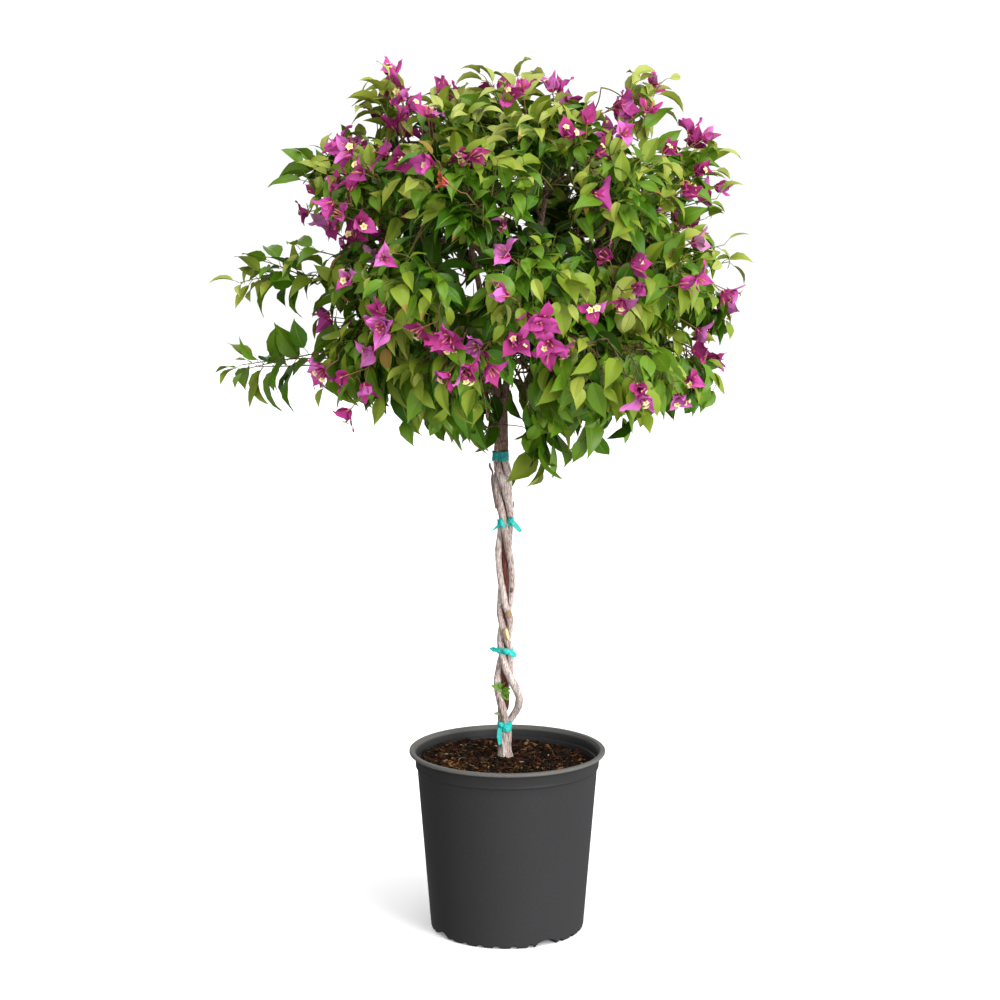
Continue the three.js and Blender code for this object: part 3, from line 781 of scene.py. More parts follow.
# %% Strands, stem foot, core and neck
strand_heights = np.linspace(STEM_TOP - 0.006, BRAID_TOP - 0.001, 380)
STRAND_SIDES = ("front", "left", "right")
for number, side in enumerate(STRAND_SIDES):
    path = strand_path(number, strand_heights)
    base = STRAND_RADIUS + between_ties(strand_heights, STRAND_SWELL)
    shape = barked_limb(path, base, 26, 61 + 5 * number)
    piece(f"bark_strand_{side}", shape, [PALE_BARK], [f"trunk_strand_{side}"])

foot_heights = np.linspace(FOOT_HEIGHT - 0.006, STEM_TOP + 0.003, 90)
foot_axis = trunk_axis(foot_heights)
flare = 0.0022 * (1 - smoothstep(foot_heights, FOOT_HEIGHT - 0.004, FOOT_HEIGHT + 0.010))
foot_base = lerp(0.0084, 0.0079, (foot_heights - FOOT_HEIGHT) / (STEM_TOP - FOOT_HEIGHT)) + flare
piece("bark_stem_foot", barked_limb(foot_axis, foot_base, 40, 81), [PALE_BARK], ["trunk_foot"])

core_heights = np.linspace(0.287, BRAID_TOP, 200)
core_path = trunk_axis(core_heights)
core_path[:, :2] += 0.0007 * np.stack([np.sin(core_heights * 90), np.cos(core_heights * 70)], -1)
core_base = 0.0032 + between_ties(core_heights, (0.0008, 0.0024, 0.0020))
core_shape = barked_limb(core_path, core_base, 16, 91, lumps=0.1)
piece("heart_wood", core_shape, [HEART_WOOD], ["trunk_core"])


def neck_shape(sides=40):
    """The upper stem: two strands grown together, so its section is a circle pinched at the front
    and the back, and the pinch turns slowly as the stem rises."""
    heights = np.linspace(BRAID_TOP - 0.004, FORK_HEIGHT + 0.006, 120)
    path = trunk_axis(heights)
    base = lerp(0.0090, 0.0086, (heights - BRAID_TOP) / (FORK_HEIGHT - BRAID_TOP))
    base = base - 0.0018 * (1 - smoothstep(heights, BRAID_TOP, BRAID_TOP + 0.004))
    radii = bark_radii(path, base, sides, 101)
    turn = 2 * math.pi * np.arange(sides) / sides
    pinch = np.abs(np.sin(turn[None] + 6 * (heights[:, None] - BRAID_TOP)))
    opening = 0.16 + 0.14 * smoothstep(heights, BRAID_TOP, FORK_HEIGHT)[:, None]
    return one_limb(path, radii * (1 - opening * pinch**6), sides)


piece("bark_neck", neck_shape(), [DARK_BARK_AND_SHADE], ["trunk_neck"])

# %% [markdown]
# ## Scars and snags on the trunk
# Where side shoots were cut away, an oval scar is left with a corky brown rim. A dead side twig
# still clings to the left of the braid, and a short stub stands beside the middle gap. The scars and
# the stub are seated on the strand that lies nearest to the front at its height.


# %% Scars and snags
def front_of_trunk(height, aside=0.0):
    """The point of the braid's front at a height, `aside` to the right of its axis, and the way
    it faces: the frontmost strand surface there, or the heart wood where the strands part."""
    best = None
    for number in range(3):
        axis = strand_path(number, np.array([height]))[0]
        radius = STRAND_RADIUS + between_ties(np.array([height]), STRAND_SWELL)[0]
        off = trunk_axis(height)[0] + aside - axis[0]
        if abs(off) < radius * 0.95:
            depth = math.sqrt(radius**2 - off**2)
            place = np.array([axis[0] + off, axis[1] - depth, height])
            if best is None or place[1] < best[0][1]:
                best = (place, unit(np.array([off, -depth, 0])))
    if best is None:
        best = (trunk_axis(height) + (aside, -STRAND_RADIUS, 0), np.array([0, -1.0, 0]))
    return best


def oval_button(place, facing, width, length, height, lean, bend=0.0056):
    """A low oval dome: rings shrink to a point while they rise by a quarter of a circle. Each point
    falls back as a cylinder of radius `bend` does, so that the dome lies round its strand."""
    rise = np.linspace(0, math.pi / 2, 7)
    turn = np.linspace(0, 2 * math.pi, 20, endpoint=False)
    up = unit(np.array([math.sin(lean), 0, math.cos(lean)]))
    side = unit(np.cross(up, facing))
    up = np.cross(facing, side)
    ring = np.cos(turn)[:, None] * side * width / 2 + np.sin(turn)[:, None] * up * length / 2
    dome = facing * (height * np.sin(rise))[:, None, None]
    points = place + ring[None] * np.cos(rise)[:, None, None] + dome
    aside = ((points - place) * np.cross((0, 0, 1), facing)).sum(-1, keepdims=True)
    points = points - facing * (bend - np.sqrt(bend**2 - aside**2))
    back = (place - facing * height)[None]
    net = net_faces(len(rise), len(turn), closed=True)
    rim = np.arange(len(turn))
    fan = np.stack([(rim + 1) % len(turn), rim, np.full(len(turn), len(rise) * len(turn))], -1)
    return np.concatenate([points.reshape(-1, 3), back]), np.concatenate([net, fan])


SCAR_CORK = uneven_finish(
    "corky_scar_rim", [(0.35, (104, 80, 54)), (0.65, (172, 146, 112))], 0.85, 1, 300, 1200, 0.8, 0.0007
)
SCAR_WOOD = plain_finish("cut_wood_cream", (238, 222, 160), 0.7, 0.3)
# Each scar's height on the trunk, place to the right of its axis, width and length. Only the long
# one is open enough to show pale wood inside its rim.
SCARS = ((0.3916, 0.0027, 0.0096, 0.0210), (0.4200, 0.0040, 0.0086, 0.0135))
SCAR_LEAN = -0.36
LONG_SCAR = 0.015
scar_rims, scar_faces = [], []
for height, aside, width, length in SCARS:
    place, facing = front_of_trunk(height, aside)
    scar_rims.append(oval_button(place - facing * 0.0002, facing, width, length, 0.0014, SCAR_LEAN))
    if length > LONG_SCAR:
        cut_place = place + facing * 0.0008
        scar_faces.append(oval_button(cut_place, facing, width * 0.42, length * 0.80, 0.0010, SCAR_LEAN))
piece("scar_rims", joined(scar_rims), [SCAR_CORK])
piece("scar_wood", joined(scar_faces), [SCAR_WOOD])


def bent_twig(points, radii, steps=24):
    """A twig on a smooth curve through a few points, with a radius given at each of them."""
    return one_limb(*curve_through(np.asarray(points, float), radii, steps), sides=8)


snag_foot = trunk_axis(0.560) + (-0.0105, -0.005, 0)
snag_points = snag_foot + (
    (0, 0, 0), (-0.0035, -0.0005, 0.018), (-0.0062, 0, 0.036), (-0.0054, 0, 0.0475),
    (-0.0074, 0, 0.0520), (-0.0090, 0, 0.0560), (-0.0090, 0, 0.0600),
)
stub_place, stub_facing = front_of_trunk(0.4475, 0.0078)
snags = [
    bent_twig(snag_points, [0.0018, 0.0016, 0.0014, 0.0012, 0.0015, 0.0016, 0.0009]),
    bent_twig(trunk_axis(0.560) + ((0.0084, -0.003, 0), (0.0108, -0.005, 0.003), (0.0112, -0.005, 0.009)),
              [0.0016, 0.0015, 0.0009], 10),
    bent_twig([stub_place - stub_facing * 0.002, stub_place + stub_facing * 0.001 + (0.001, 0, 0.002),
               stub_place + stub_facing * 0.002 + (0.001, 0, 0.006)], [0.0022, 0.0020, 0.0016], 10),
]
DEAD_TWIG = plain_finish("dead_twig_grey", (104, 92, 86), 0.8, 0.1)
piece("dead_snags", joined(snags), [DEAD_TWIG])

# %% [markdown]
# ## The ties
# Soft green stretch tape, wound once or twice and knotted. Under tension it spans from strand to
# strand, so its outline is the hull of the strands it holds: at each angle, the furthest strand axis
# in that direction plus a strand's radius. Folds run along the tape. The loose ends are narrow
# blades with a crease down the middle, and each knot is a short lump with the tape's folds in it.

# %% Bands of tape
TAPE = uneven_finish(
    "green_stretch_tape", [(0.3, (10, 132, 126)), (0.52, (34, 178, 168)), (0.7, (76, 206, 194))],
    0.36, 1, 120, 700, 0.35, 0.0006,
)
SHADED_TAPE = uneven_finish(
    "shaded_stretch_tape", [(0.3, (0, 84, 98)), (0.52, (10, 138, 134)), (0.7, (40, 168, 158))],
    0.36, 1, 120, 700, 0.35, 0.0006,
)


def tape_band(height, width, strands, seed, tilt):
    """A closed band round the strands: at each angle the outer side crosses the tape's width with
    a few folds, and the inner side comes straight back."""
    turn = np.linspace(0, 2 * math.pi, 96, endpoint=False)
    hull = np.full_like(turn, -1.0)
    for number in strands:
        off = strand_path(number, np.array([height]))[0] - trunk_axis(height)
        hull = np.maximum(hull, off[0] * np.cos(turn) + off[1] * np.sin(turn))
    hull = hull + STRAND_RADIUS + 0.0003
    across = np.linspace(-1, 1, 14)
    circle = round_ways(turn)
    edge = 1 + 0.13 * ripples(circle * 0.01, 0.009, seed)
    grid = circle[:, None] * 0.006 + np.stack([0 * across, 0 * across, across * 0.004], -1)
    folds = 0.0004 * np.abs(np.sin(7 * across + 2.4 * ripples(grid, 0.010, seed + 1)))
    outer = hull[:, None] + 0.0006 + folds + 0.0003 * ripples(grid, 0.004, seed + 2)
    radius = np.concatenate([outer, np.broadcast_to(hull[:, None], outer.shape)], 1)
    rise = across * (width / 2) * edge[:, None]
    x, y = radius * np.cos(turn)[:, None], radius * np.sin(turn)[:, None]
    rise = np.concatenate([rise, rise[:, ::-1]], 1) + tilt * x
    centre = trunk_axis(height)
    points = np.stack([centre[0] + x, centre[1] + y, height + rise], -1)
    rows, columns = radius.shape
    faces = net_faces(rows + 1, columns, closed=True) % (rows * columns)
    return points.reshape(-1, 3), faces[:, ::-1]


def tape_blade(points, widths, crease=0.28, thickness=0.0005, steps=16):
    """A loose end of tape through a few points, facing the front: its section is a shallow V, and
    its back is the same V a tape's thickness behind. Both ends are closed."""
    points = np.asarray(points, float)
    share = np.linspace(0, len(points) - 1, steps)
    path = np.stack([np.interp(share, np.arange(len(points)), points[:, i]) for i in range(3)], -1)
    path[1:-1] = (path[:-2] + 2 * path[1:-1] + path[2:]) / 4
    half = np.interp(share, np.linspace(0, len(points) - 1, len(widths)), widths)[:, None] / 2
    forward = unit(np.gradient(path, axis=0))
    side = unit(np.cross(forward, (0.0, -1.0, 0.0)))
    out = np.cross(side, forward)
    section = np.array([-1, -0.5, 0, 0.5, 1])
    curl = np.sin(np.linspace(0, 2.5, steps))[:, None] * 0.0012
    lift = half * crease * np.abs(section) + curl * section
    front = path[:, None] + side[:, None] * (half * section)[..., None] + out[:, None] * lift[..., None]
    back = front[:, ::-1] - out[:, None] * thickness
    loop = np.concatenate([front, back], 1)
    ends = np.stack([loop[0].mean(0), loop[-1].mean(0)])
    return np.concatenate([loop.reshape(-1, 3), ends]), limb_faces(steps, loop.shape[1])


def tape_knot(centre, way, length, thickness, seed):
    """A lump of tape: a short thick limb whose radius swells in the middle, with folds round it."""
    t = np.linspace(-0.5, 0.5, 18)
    path = np.asarray(centre) + t[:, None] * length * np.asarray(way)
    path[:, 1] -= 0.0012 * np.cos(math.pi * t)
    base = thickness * (1 - (1.85 * t) ** 2).clip(0.05, 1) ** 0.5
    return barked_limb(path, base, 20, seed, lumps=0.12, ridges=0.2, wrinkles=0.0, ridge_count=5)


def tie_front(height, aside, out=0.0):
    """A point in front of the tape at a height, `aside` to the right of the braid's axis."""
    centre = trunk_axis(height)
    reach = TIE_REACH + STRAND_RADIUS + 0.001 + out
    forward = math.sqrt(max(reach**2 - aside**2, 0.000004))
    return np.array([centre[0] + aside, centre[1] - forward, height])


# %% The four ties
all_strands = (0, 1, 2)
top_height, upper_height, lower_height, foot_height = TIE_HEIGHTS
top_band = tape_band(top_height, 0.0125, all_strands, 111, 0.05)
piece("tie_tape_top", top_band, [SHADED_TAPE], ["tie_top"])

upper_parts = [
    tape_band(upper_height, 0.0085, (1, 2), 121, 0.12),
    tape_knot(tie_front(upper_height + 0.0005, -0.0044), (0.32, 0, -0.94), 0.0136, 0.0040, 122),
    tape_knot(tie_front(upper_height + 0.0045, 0.0072), (0.6, 0, 0.8), 0.0080, 0.0032, 123),
    tape_blade([tie_front(upper_height - 0.001, -0.006), tie_front(upper_height - 0.004, -0.0100, 0.002),
                trunk_axis(upper_height) + (-0.0178, -0.0075, -0.0105)], [0.0030, 0.0042, 0.0034, 0.0006]),
    tape_blade([tie_front(upper_height + 0.0035, 0.0080), tie_front(upper_height + 0.0010, 0.0105, 0.002),
                trunk_axis(upper_height) + (0.0205, -0.0080, -0.0110)], [0.0034, 0.0056, 0.0066, 0.0046]),
]
lower_parts = [
    tape_band(lower_height, 0.0080, all_strands, 131, -0.10),
    tape_knot(tie_front(lower_height + 0.0010, 0.0010), (0.85, 0, -0.35), 0.0120, 0.0032, 132),
    tape_blade([tie_front(lower_height + 0.0015, -0.003), tie_front(lower_height + 0.002, -0.0095, 0.002),
                trunk_axis(lower_height) + (-0.0160, -0.0070, 0.0030),
                trunk_axis(lower_height) + (-0.0216, -0.0060, 0.0034)], [0.0040, 0.0062, 0.0070, 0.0004]),
    tape_blade([tie_front(lower_height, 0.0030), tie_front(lower_height - 0.002, 0.0088, 0.002),
                trunk_axis(lower_height) + (0.0150, -0.0072, -0.0060)], [0.0044, 0.0068, 0.0078, 0.0030]),
]
foot_parts = [
    tape_band(foot_height, 0.0120, all_strands, 141, 0.06),
    tape_knot(tie_front(foot_height + 0.0035, -0.0055), (0.35, 0, -0.9), 0.0080, 0.0028, 142),
    tape_blade([tie_front(foot_height + 0.003, -0.0062), tie_front(foot_height - 0.004, -0.0074, 0.0010),
                trunk_axis(foot_height) + (-0.0078, -0.0110, -0.0125),
                trunk_axis(foot_height) + (-0.0072, -0.0115, -0.0230)], [0.0040, 0.0062, 0.0066, 0.0036]),
]
for name, parts in (("upper", upper_parts), ("lower", lower_parts), ("foot", foot_parts)):
    piece(f"tie_tape_{name}", joined(parts), [TAPE], [f"tie_{name}"])

# %% [markdown]
# ## The boughs that the crown hangs on
# Two leaders go on from the neck, and seven limbs leave them in a rising spiral. Each is a smooth
# curve of a few control points, as in the CAD model, with dark bark relief like the neck's, whose
# colours also hold painted shade from the crown.

# %% Leaders and limbs
LEADERS = (
    {"node": "leader_left", "offset": -0.0047, "top": (-0.058, 0.030, 1.010), "radius": 0.0050},
    {"node": "leader_right", "offset": 0.0047, "top": (0.052, 0.004, 1.018), "radius": 0.0052},
)
LEADER_TIP = 0.0026
LIMBS = 7
FIRST_LIMB_TURN = math.radians(-168)
FIRST_LIMB_HEIGHT, LIMB_STEP = 0.712, 0.017
LIMB_REACH, LIMB_RISE = 0.132, 0.062
LIMB_FOOT, LIMB_TIP = 0.0038, 0.0024


def leader_points(leader, t):
    """A cubic curve from the fork: it leaves upright and leans over towards its top."""
    t = np.asarray(t, float)[:, None]
    foot = trunk_axis(FORK_HEIGHT) + (leader["offset"], 0, 0.0006)
    top = np.array(leader["top"])
    rise = (top[2] - foot[2]) / 3
    upright = foot + (leader["offset"] * 1.4, 0, rise)
    leaning = top - (0, 0, rise)
    return (1 - t) ** 3 * foot + 3 * (1 - t) ** 2 * t * upright + 3 * (1 - t) * t**2 * leaning + t**3 * top


def limb_points(number, t):
    """A quadratic curve from its leader out to its tip, with the knee a little low."""
    t = np.asarray(t, float)[:, None]
    turn = FIRST_LIMB_TURN + number * 2 * math.pi / LIMBS
    carrier = LEADERS[0] if math.cos(turn) < 0 else LEADERS[1]
    height = FIRST_LIMB_HEIGHT + LIMB_STEP * number
    along = (height - FORK_HEIGHT) / (carrier["top"][2] - FORK_HEIGHT)
    foot = leader_points(carrier, [along])[0]
    tip = np.array([LIMB_REACH * math.cos(turn), LIMB_REACH * math.sin(turn), foot[2] + LIMB_RISE])
    knee = (foot + tip) / 2 - (0, 0, LIMB_RISE / 5)
    return (1 - t) ** 2 * foot + 2 * (1 - t) * t * knee + t**2 * tip


bough_t = np.linspace(0, 1, 70)
bough_paths = {leader["node"]: leader_points(leader, bough_t) for leader in LEADERS}
bough_parts = []
for number, leader in enumerate(LEADERS):
    path = bough_paths[leader["node"]]
    path = np.concatenate([[path[0] - (0, 0, 0.006)], path])
    base = lerp(leader["radius"], LEADER_TIP, np.linspace(0, 1, len(path)))
    bough_parts.append(barked_limb(path, base, 20, 151 + 5 * number))
for number in range(LIMBS):
    path = limb_points(number, bough_t[::2])
    bough_paths[f"limb_{number + 1}"] = path
    base = lerp(LIMB_FOOT, LIMB_TIP, np.linspace(0, 1, len(path)))
    bough_parts.append(barked_limb(path, base, 14, 171 + 5 * number))
bough_nodes = list(bough_paths)
piece("bark_boughs", joined(bough_parts), [DARK_BARK_AND_SHADE], bough_nodes)

# %% [markdown]
# ## Where the shoots end
# The CAD model holds the crown as solid masses. Their outer skin is where the young shoots end.
# Points are drawn over that skin, more on a large triangle than on a small one, and a point is kept
# only if no kept point is nearer than the spacing, which spreads the shoots evenly with no gaps.
# Faces that look into the crown or at a neighbour are left out: a ray that leaves such a face, away
# from the crown's middle, hits another mass.


# %% The crown's skin
def crown_skin():
    """Triangles (n, 3, 3) of all masses, the outward normal and the mass number of each, and the
    masses' names."""
    corners, normals, masses = [], [], []
    names = sorted(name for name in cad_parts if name.startswith("foliage_"))
    for number, name in enumerate(names):
        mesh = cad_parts[name].data
        mesh.calc_loop_triangles()
        points = np.empty(len(mesh.vertices) * 3)
        mesh.vertices.foreach_get("co", points)
        index = np.empty(len(mesh.loop_triangles) * 3, np.int32)
        mesh.loop_triangles.foreach_get("vertices", index)
        corner = points.reshape(-1, 3)[index].reshape(-1, 3, 3)
        normal = unit(np.cross(corner[:, 1] - corner[:, 0], corner[:, 2] - corner[:, 0]))
        corners.append(corner)
        normals.append(normal)
        masses.append(np.full(len(corner), number))
    return np.concatenate(corners), np.concatenate(normals), np.concatenate(masses), names


skin, skin_normals, skin_mass, MASS_NAMES = crown_skin()
tree = BVHTree.FromPolygons(skin.reshape(-1, 3).tolist(), np.arange(len(skin) * 3).reshape(-1, 3).tolist())
CROWN_MIDDLE = np.array([-0.004, 0.0, 0.87])
skin_middle = skin.mean(1)
skin_away = unit(skin_normals + unit(skin_middle - CROWN_MIDDLE))
is_open = np.array([
    tree.ray_cast(tuple(middle + normal * 1e-5), tuple(way))[0] is None
    for middle, normal, way in zip(skin_middle, skin_normals, skin_away)
])
MASS_CENTRES = np.array([
    (np.array(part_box(name)[0]) + np.array(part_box(name)[1])) / 2 for name in MASS_NAMES
])
print("crown skin:", int(is_open.sum()), "open triangles of", len(skin))

open_tree = BVHTree.FromPolygons(
    skin[is_open].reshape(-1, 3).tolist(), np.arange(is_open.sum() * 3).reshape(-1, 3).tolist()
)


def above_skin(points):
    """How far each point stands out of the crown's open skin, less than 0 inside it."""
    found = [open_tree.find_nearest(tuple(point)) for point in points]
    near = np.array([tuple(hit[0]) for hit in found])
    normal = np.array([tuple(hit[1]) for hit in found])
    away = np.array([hit[3] for hit in found])
    return away * np.sign(((points - near) * normal).sum(-1))


def spread_points(chosen, spacing, tries, seed):
    """Even random points over the chosen triangles, no two nearer than the spacing. Returns the
    points, their normals and their masses."""
    draw = np.random.default_rng(seed)
    triangles = skin[chosen]
    edge, other_edge = triangles[:, 1] - triangles[:, 0], triangles[:, 2] - triangles[:, 0]
    area = np.linalg.norm(np.cross(edge, other_edge), axis=1)
    pick = draw.choice(len(triangles), tries, p=area / area.sum())
    a, b = np.sqrt(draw.uniform(size=tries)), draw.uniform(size=tries)
    share = np.stack([1 - a, a * (1 - b), a * b], -1)
    points = (triangles[pick] * share[..., None]).sum(1)
    kept = []
    for number, point in enumerate(points):
        if not kept or np.min(((points[kept] - point) ** 2).sum(-1)) > spacing**2:
            kept.append(number)
    chosen = np.flatnonzero(chosen)[pick[kept]]
    return points[kept], skin_normals[chosen], skin_mass[chosen]


# %% [markdown]
# ## Trusses of blossom
# Blooms stand in trusses of one to four on thin stalks near the ends of the shoots. Their places
# are settled first, so that a shoot reaches every truss and no leaf covers a bloom. The trusses of
# the show side are listed, as (x, z, blooms) in metres, and a ray from the front finds how
# far back the skin is there. The others are spread at random over the rest of the skin, about as
# densely.

# %% Where the trusses stand
IS_SPRAY = np.array(["spray" in name for name in MASS_NAMES])
LONG_SPRAYS = ("foliage_spray_left_upper", "foliage_spray_left_lower")
IS_LONG = np.array([name in LONG_SPRAYS for name in MASS_NAMES])
FRONT_TRUSSES = [
    (-0.140, 1.085, 2), (-0.150, 1.063, 1), (-0.107, 1.062, 1), (-0.086, 1.017, 1), (-0.059, 1.046, 2),
    (-0.197, 1.023, 3), (-0.241, 0.977, 1), (-0.198, 0.945, 2), (-0.158, 0.927, 2), (-0.211, 0.909, 1),
    (-0.003, 1.102, 1), (0.026, 1.096, 1), (0.134, 1.095, 3), (0.108, 1.062, 1), (0.069, 1.047, 1),
    (0.183, 1.070, 1), (0.140, 1.037, 1), (0.107, 0.984, 1), (0.100, 1.023, 1), (0.187, 1.017, 1),
    (0.243, 0.996, 1), (0.207, 0.979, 1), (0.014, 0.896, 1), (-0.007, 0.936, 1), (-0.203, 0.862, 1),
    (-0.164, 0.900, 1), (-0.235, 0.808, 1), (-0.234, 0.758, 2), (-0.193, 0.748, 2), (-0.146, 0.818, 4),
    (-0.095, 0.819, 2), (-0.072, 0.805, 2), (-0.066, 0.769, 2), (-0.022, 0.790, 3), (0.014, 0.847, 2),
    (0.043, 0.824, 2), (0.059, 0.798, 3), (0.114, 0.879, 2), (0.146, 0.886, 2), (0.159, 0.856, 2),
    (0.225, 0.909, 1), (0.233, 0.879, 1), (0.208, 0.858, 1), (0.247, 0.809, 1), (0.169, 0.741, 2),
    (0.238, 0.762, 1), (0.221, 0.733, 2), (-0.201, 0.712, 1), (-0.162, 0.782, 1), (0.109, 0.841, 1),
    (-0.151, 1.050, 2), (-0.143, 1.022, 2), (-0.172, 1.003, 1), (-0.212, 0.972, 2), (0.006, 0.798, 2),
    (-0.038, 0.776, 2), (-0.062, 1.023, 1), (-0.061, 0.988, 1),
]
DRY_TRUSS = len(FRONT_TRUSSES) - 1
BEFORE_CROWN, SHOW_DEPTH = -0.6, 0.06
front_places = []
for x, z, blooms in FRONT_TRUSSES:
    hit = open_tree.ray_cast((x, BEFORE_CROWN, z), (0, 1, 0))[0]
    if hit is None or hit.y > SHOW_DEPTH:
        hit = open_tree.find_nearest((x, -SHOW_DEPTH, z))[0]
    front_places.append(tuple(hit))
front_places = np.array(front_places)
front_counts = np.array([blooms for x, z, blooms in FRONT_TRUSSES])

TRUSS_SPACING, CLEAR_OF_FRONT = 0.052, 0.055
LOWEST_TRUSS = 0.71
TRUSSES_KEPT = 0.55
draw = np.random.default_rng(301)
other_points = spread_points(is_open & ~IS_LONG[skin_mass], TRUSS_SPACING, 4000, 302)[0]
from_front = np.linalg.norm(other_points[:, None] - front_places[None], axis=-1).min(1)
faces_front = other_points[:, 1] < -0.30 * np.abs(other_points[:, 0]) - 0.02
is_other = (from_front > CLEAR_OF_FRONT) & (other_points[:, 2] > LOWEST_TRUSS) & ~faces_front
other_points = other_points[is_other]
other_points = other_points[draw.uniform(size=len(other_points)) < TRUSSES_KEPT]
other_counts = draw.choice([1, 2, 3, 4], len(other_points), p=[0.32, 0.36, 0.24, 0.08])
truss_places = np.concatenate([front_places, other_points])
truss_counts = np.concatenate([front_counts, other_counts])
truss_out = unit(truss_places - CROWN_MIDDLE + (0, 0, 0.03))
print("trusses:", len(truss_places), "blooms:", int(truss_counts.sum()))

# %% [markdown]
# ## Shoots
# A shoot is a green twig of a hand's breadth with leaves along it. Most shoots end on the skin and
# begin a little way inside. A shoot at the crown's top rises to its tip. One at the skirt comes
# down to it from above, as the weight of its leaves has bent it. The sprays that stand out at the
# left are long shoots that fan from the crown's edge. A last set of short shoots stays inside the
# crown, where older leaves, painted darker as shade, close most of the gaps.

# %% Shoot tips and feet
SHOOT_SPACING = 0.036
tip_points, tip_normals, tip_mass = spread_points(is_open & ~IS_LONG[skin_mass], SHOOT_SPACING, 6000, 201)
CROWN_LOW, CROWN_HIGH = tip_points[:, 2].min(), tip_points[:, 2].max()


def rise_share(points):
    """0 at the crown's skirt and 1 at its top."""
    return np.clip((points[..., 2] - CROWN_LOW) / (CROWN_HIGH - CROWN_LOW), 0, 1)


def shoot_table(foot, tip, out, arch, inner=False):
    """A set of shoots: foot and tip points, the ways outward, how high each arches as a share of
    its length, and whether the set stays inside the crown."""
    count = len(foot)
    return {
        "foot": foot, "tip": tip, "out": out,
        "arch": np.broadcast_to(arch, count), "inner": np.full(count, inner),
    }


def outward_at(points, normals, masses):
    """The way out of the crown at a point of its skin: the face's normal, the way from the middle
    of its mass and the way from the middle of the crown, in equal parts."""
    from_mass = unit(points - MASS_CENTRES[masses])
    from_crown = unit(points - CROWN_MIDDLE)
    return unit(normals + from_mass + from_crown)


draw = np.random.default_rng(202)
outward = outward_at(tip_points, tip_normals, tip_mass)
height_share = rise_share(tip_points)
depth = draw.uniform(0.075, 0.120, len(tip_points)) * np.where(IS_SPRAY[tip_mass], 0.8, 1.0)
lift = lerp(-0.85, 0.35, smoothstep(height_share, 0.0, 0.75))
way_in = unit(outward + lift[:, None] * (0, 0, 1) + draw.normal(0, 0.18, (len(tip_points), 3)))
foot_points = tip_points - way_in * depth[:, None]
# Leaves reach past the tip of their shoot, so each tip stops short of the skin: a little way back
# at the top and sides, and further up at the skirt, where the leaves hang below it.
room = np.where(IS_SPRAY[tip_mass], 0.016, 0.026)
set_back = outward * room[:, None]
set_back[:, 2] -= 0.020 * (1 - smoothstep(height_share, 0.0, 0.3))
skin_arch = lerp(0.30, 0.10, height_share) + draw.normal(0, 0.05, len(tip_points))
skin_shoots = shoot_table(foot_points, tip_points - set_back, outward, skin_arch)


def fan_shoots(name, count, seed):
    """Long shoots that fan out of the crown through a spray: from a point near its inner end to
    points spread over its far side."""
    spread = np.random.default_rng(seed)
    low, high = (np.array(corner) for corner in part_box(name))
    middle, half = (low + high) / 2, (high - low) / 2
    way = unit((middle - CROWN_MIDDLE) * (1, 0, 0))
    aside = spread.uniform(-1, 1, (count, 2)) * 0.62
    tip = np.stack([
        middle[0] + way[0] * half[0] * spread.uniform(0.35, 0.9, count),
        middle[1] + half[1] * aside[:, 0],
        middle[2] + half[2] * aside[:, 1],
    ], -1)
    foot = middle - way * half * (1.0, 0, 0) + spread.normal(0, 0.008, (count, 3))
    foot[:, 2] -= half[2] * 0.25
    return shoot_table(foot, tip, unit(tip - foot), 0.06 + spread.normal(0, 0.04, count))


def inner_shoots(count, seed, clearance=0.018):
    """Short shoots inside the crown: each foot is a random mix of a skin point and a point of the
    axis, and the shoot grows out from it in a random direction. Only those that end inside the
    skin by the clearance are kept, and none that would cross in front of the stem."""
    spread = np.random.default_rng(seed)
    pick = spread.integers(0, len(tip_points), count)
    axis = np.stack([
        np.full(count, CROWN_MIDDLE[0]), np.full(count, 0.01), np.minimum(tip_points[pick][:, 2], 0.98),
    ], -1)
    share = spread.uniform(0.35, 0.80, count)[:, None]
    foot = lerp(axis, tip_points[pick], share)
    foot[:, 2] = np.maximum(foot[:, 2], CROWN_LOW + 0.05)
    way = unit(outward[pick] + spread.normal(0, 0.5, (count, 3)))
    tip = foot + way * spread.uniform(0.05, 0.085, count)[:, None]
    crosses_stem = (foot[:, 0] * tip[:, 0] < 0) & (tip[:, 1] < 0) & (tip[:, 2] < 0.74)
    kept = (above_skin(tip) < -clearance) & ~crosses_stem
    return shoot_table(foot[kept], tip[kept], unit(tip - axis)[kept], 0.15, inner=True)


def hand_shoots(ends, arch=0.08):
    """Shoots given one by one, as (foot, tip) pairs in metres."""
    foot, tip = np.array(ends).swapaxes(0, 1)
    return shoot_table(foot, tip, unit(tip - CROWN_MIDDLE), arch)


def band_shoots(count, seed):
    """Level shoots that close the band between the skirt and the boughs above it: they point out
    from the stem over its front half, in an ellipse a little inside the crown's own."""
    spread = np.random.default_rng(seed)
    turn = spread.uniform(-math.pi, 0.1, count)
    high = spread.uniform(0.752, 0.825, count)
    way = round_ways(turn)
    reach = (0.235, 0.205, 1) * spread.uniform(0.80, 1.0, (count, 1))
    tip = way * reach + (0, 0.01, 0) + high[:, None] * (0, 0, 1)
    foot = way * 0.11 + (0, 0.01, 0) + (high + 0.01)[:, None] * (0, 0, 1)
    return shoot_table(lerp(foot, tip, 0.25), tip, way, 0.12)


def bloom_shoots(near_tips, reach=0.036):
    """A shoot that ends just under every truss that no other shoot's tip comes near."""
    gap = np.linalg.norm(truss_places[:, None] - near_tips[None], axis=-1).min(1)
    lone, out = truss_places[gap > reach], truss_out[gap > reach]
    return shoot_table(lone - out * 0.105 - (0, 0, 0.015), lone - out * 0.018, out, 0.1)


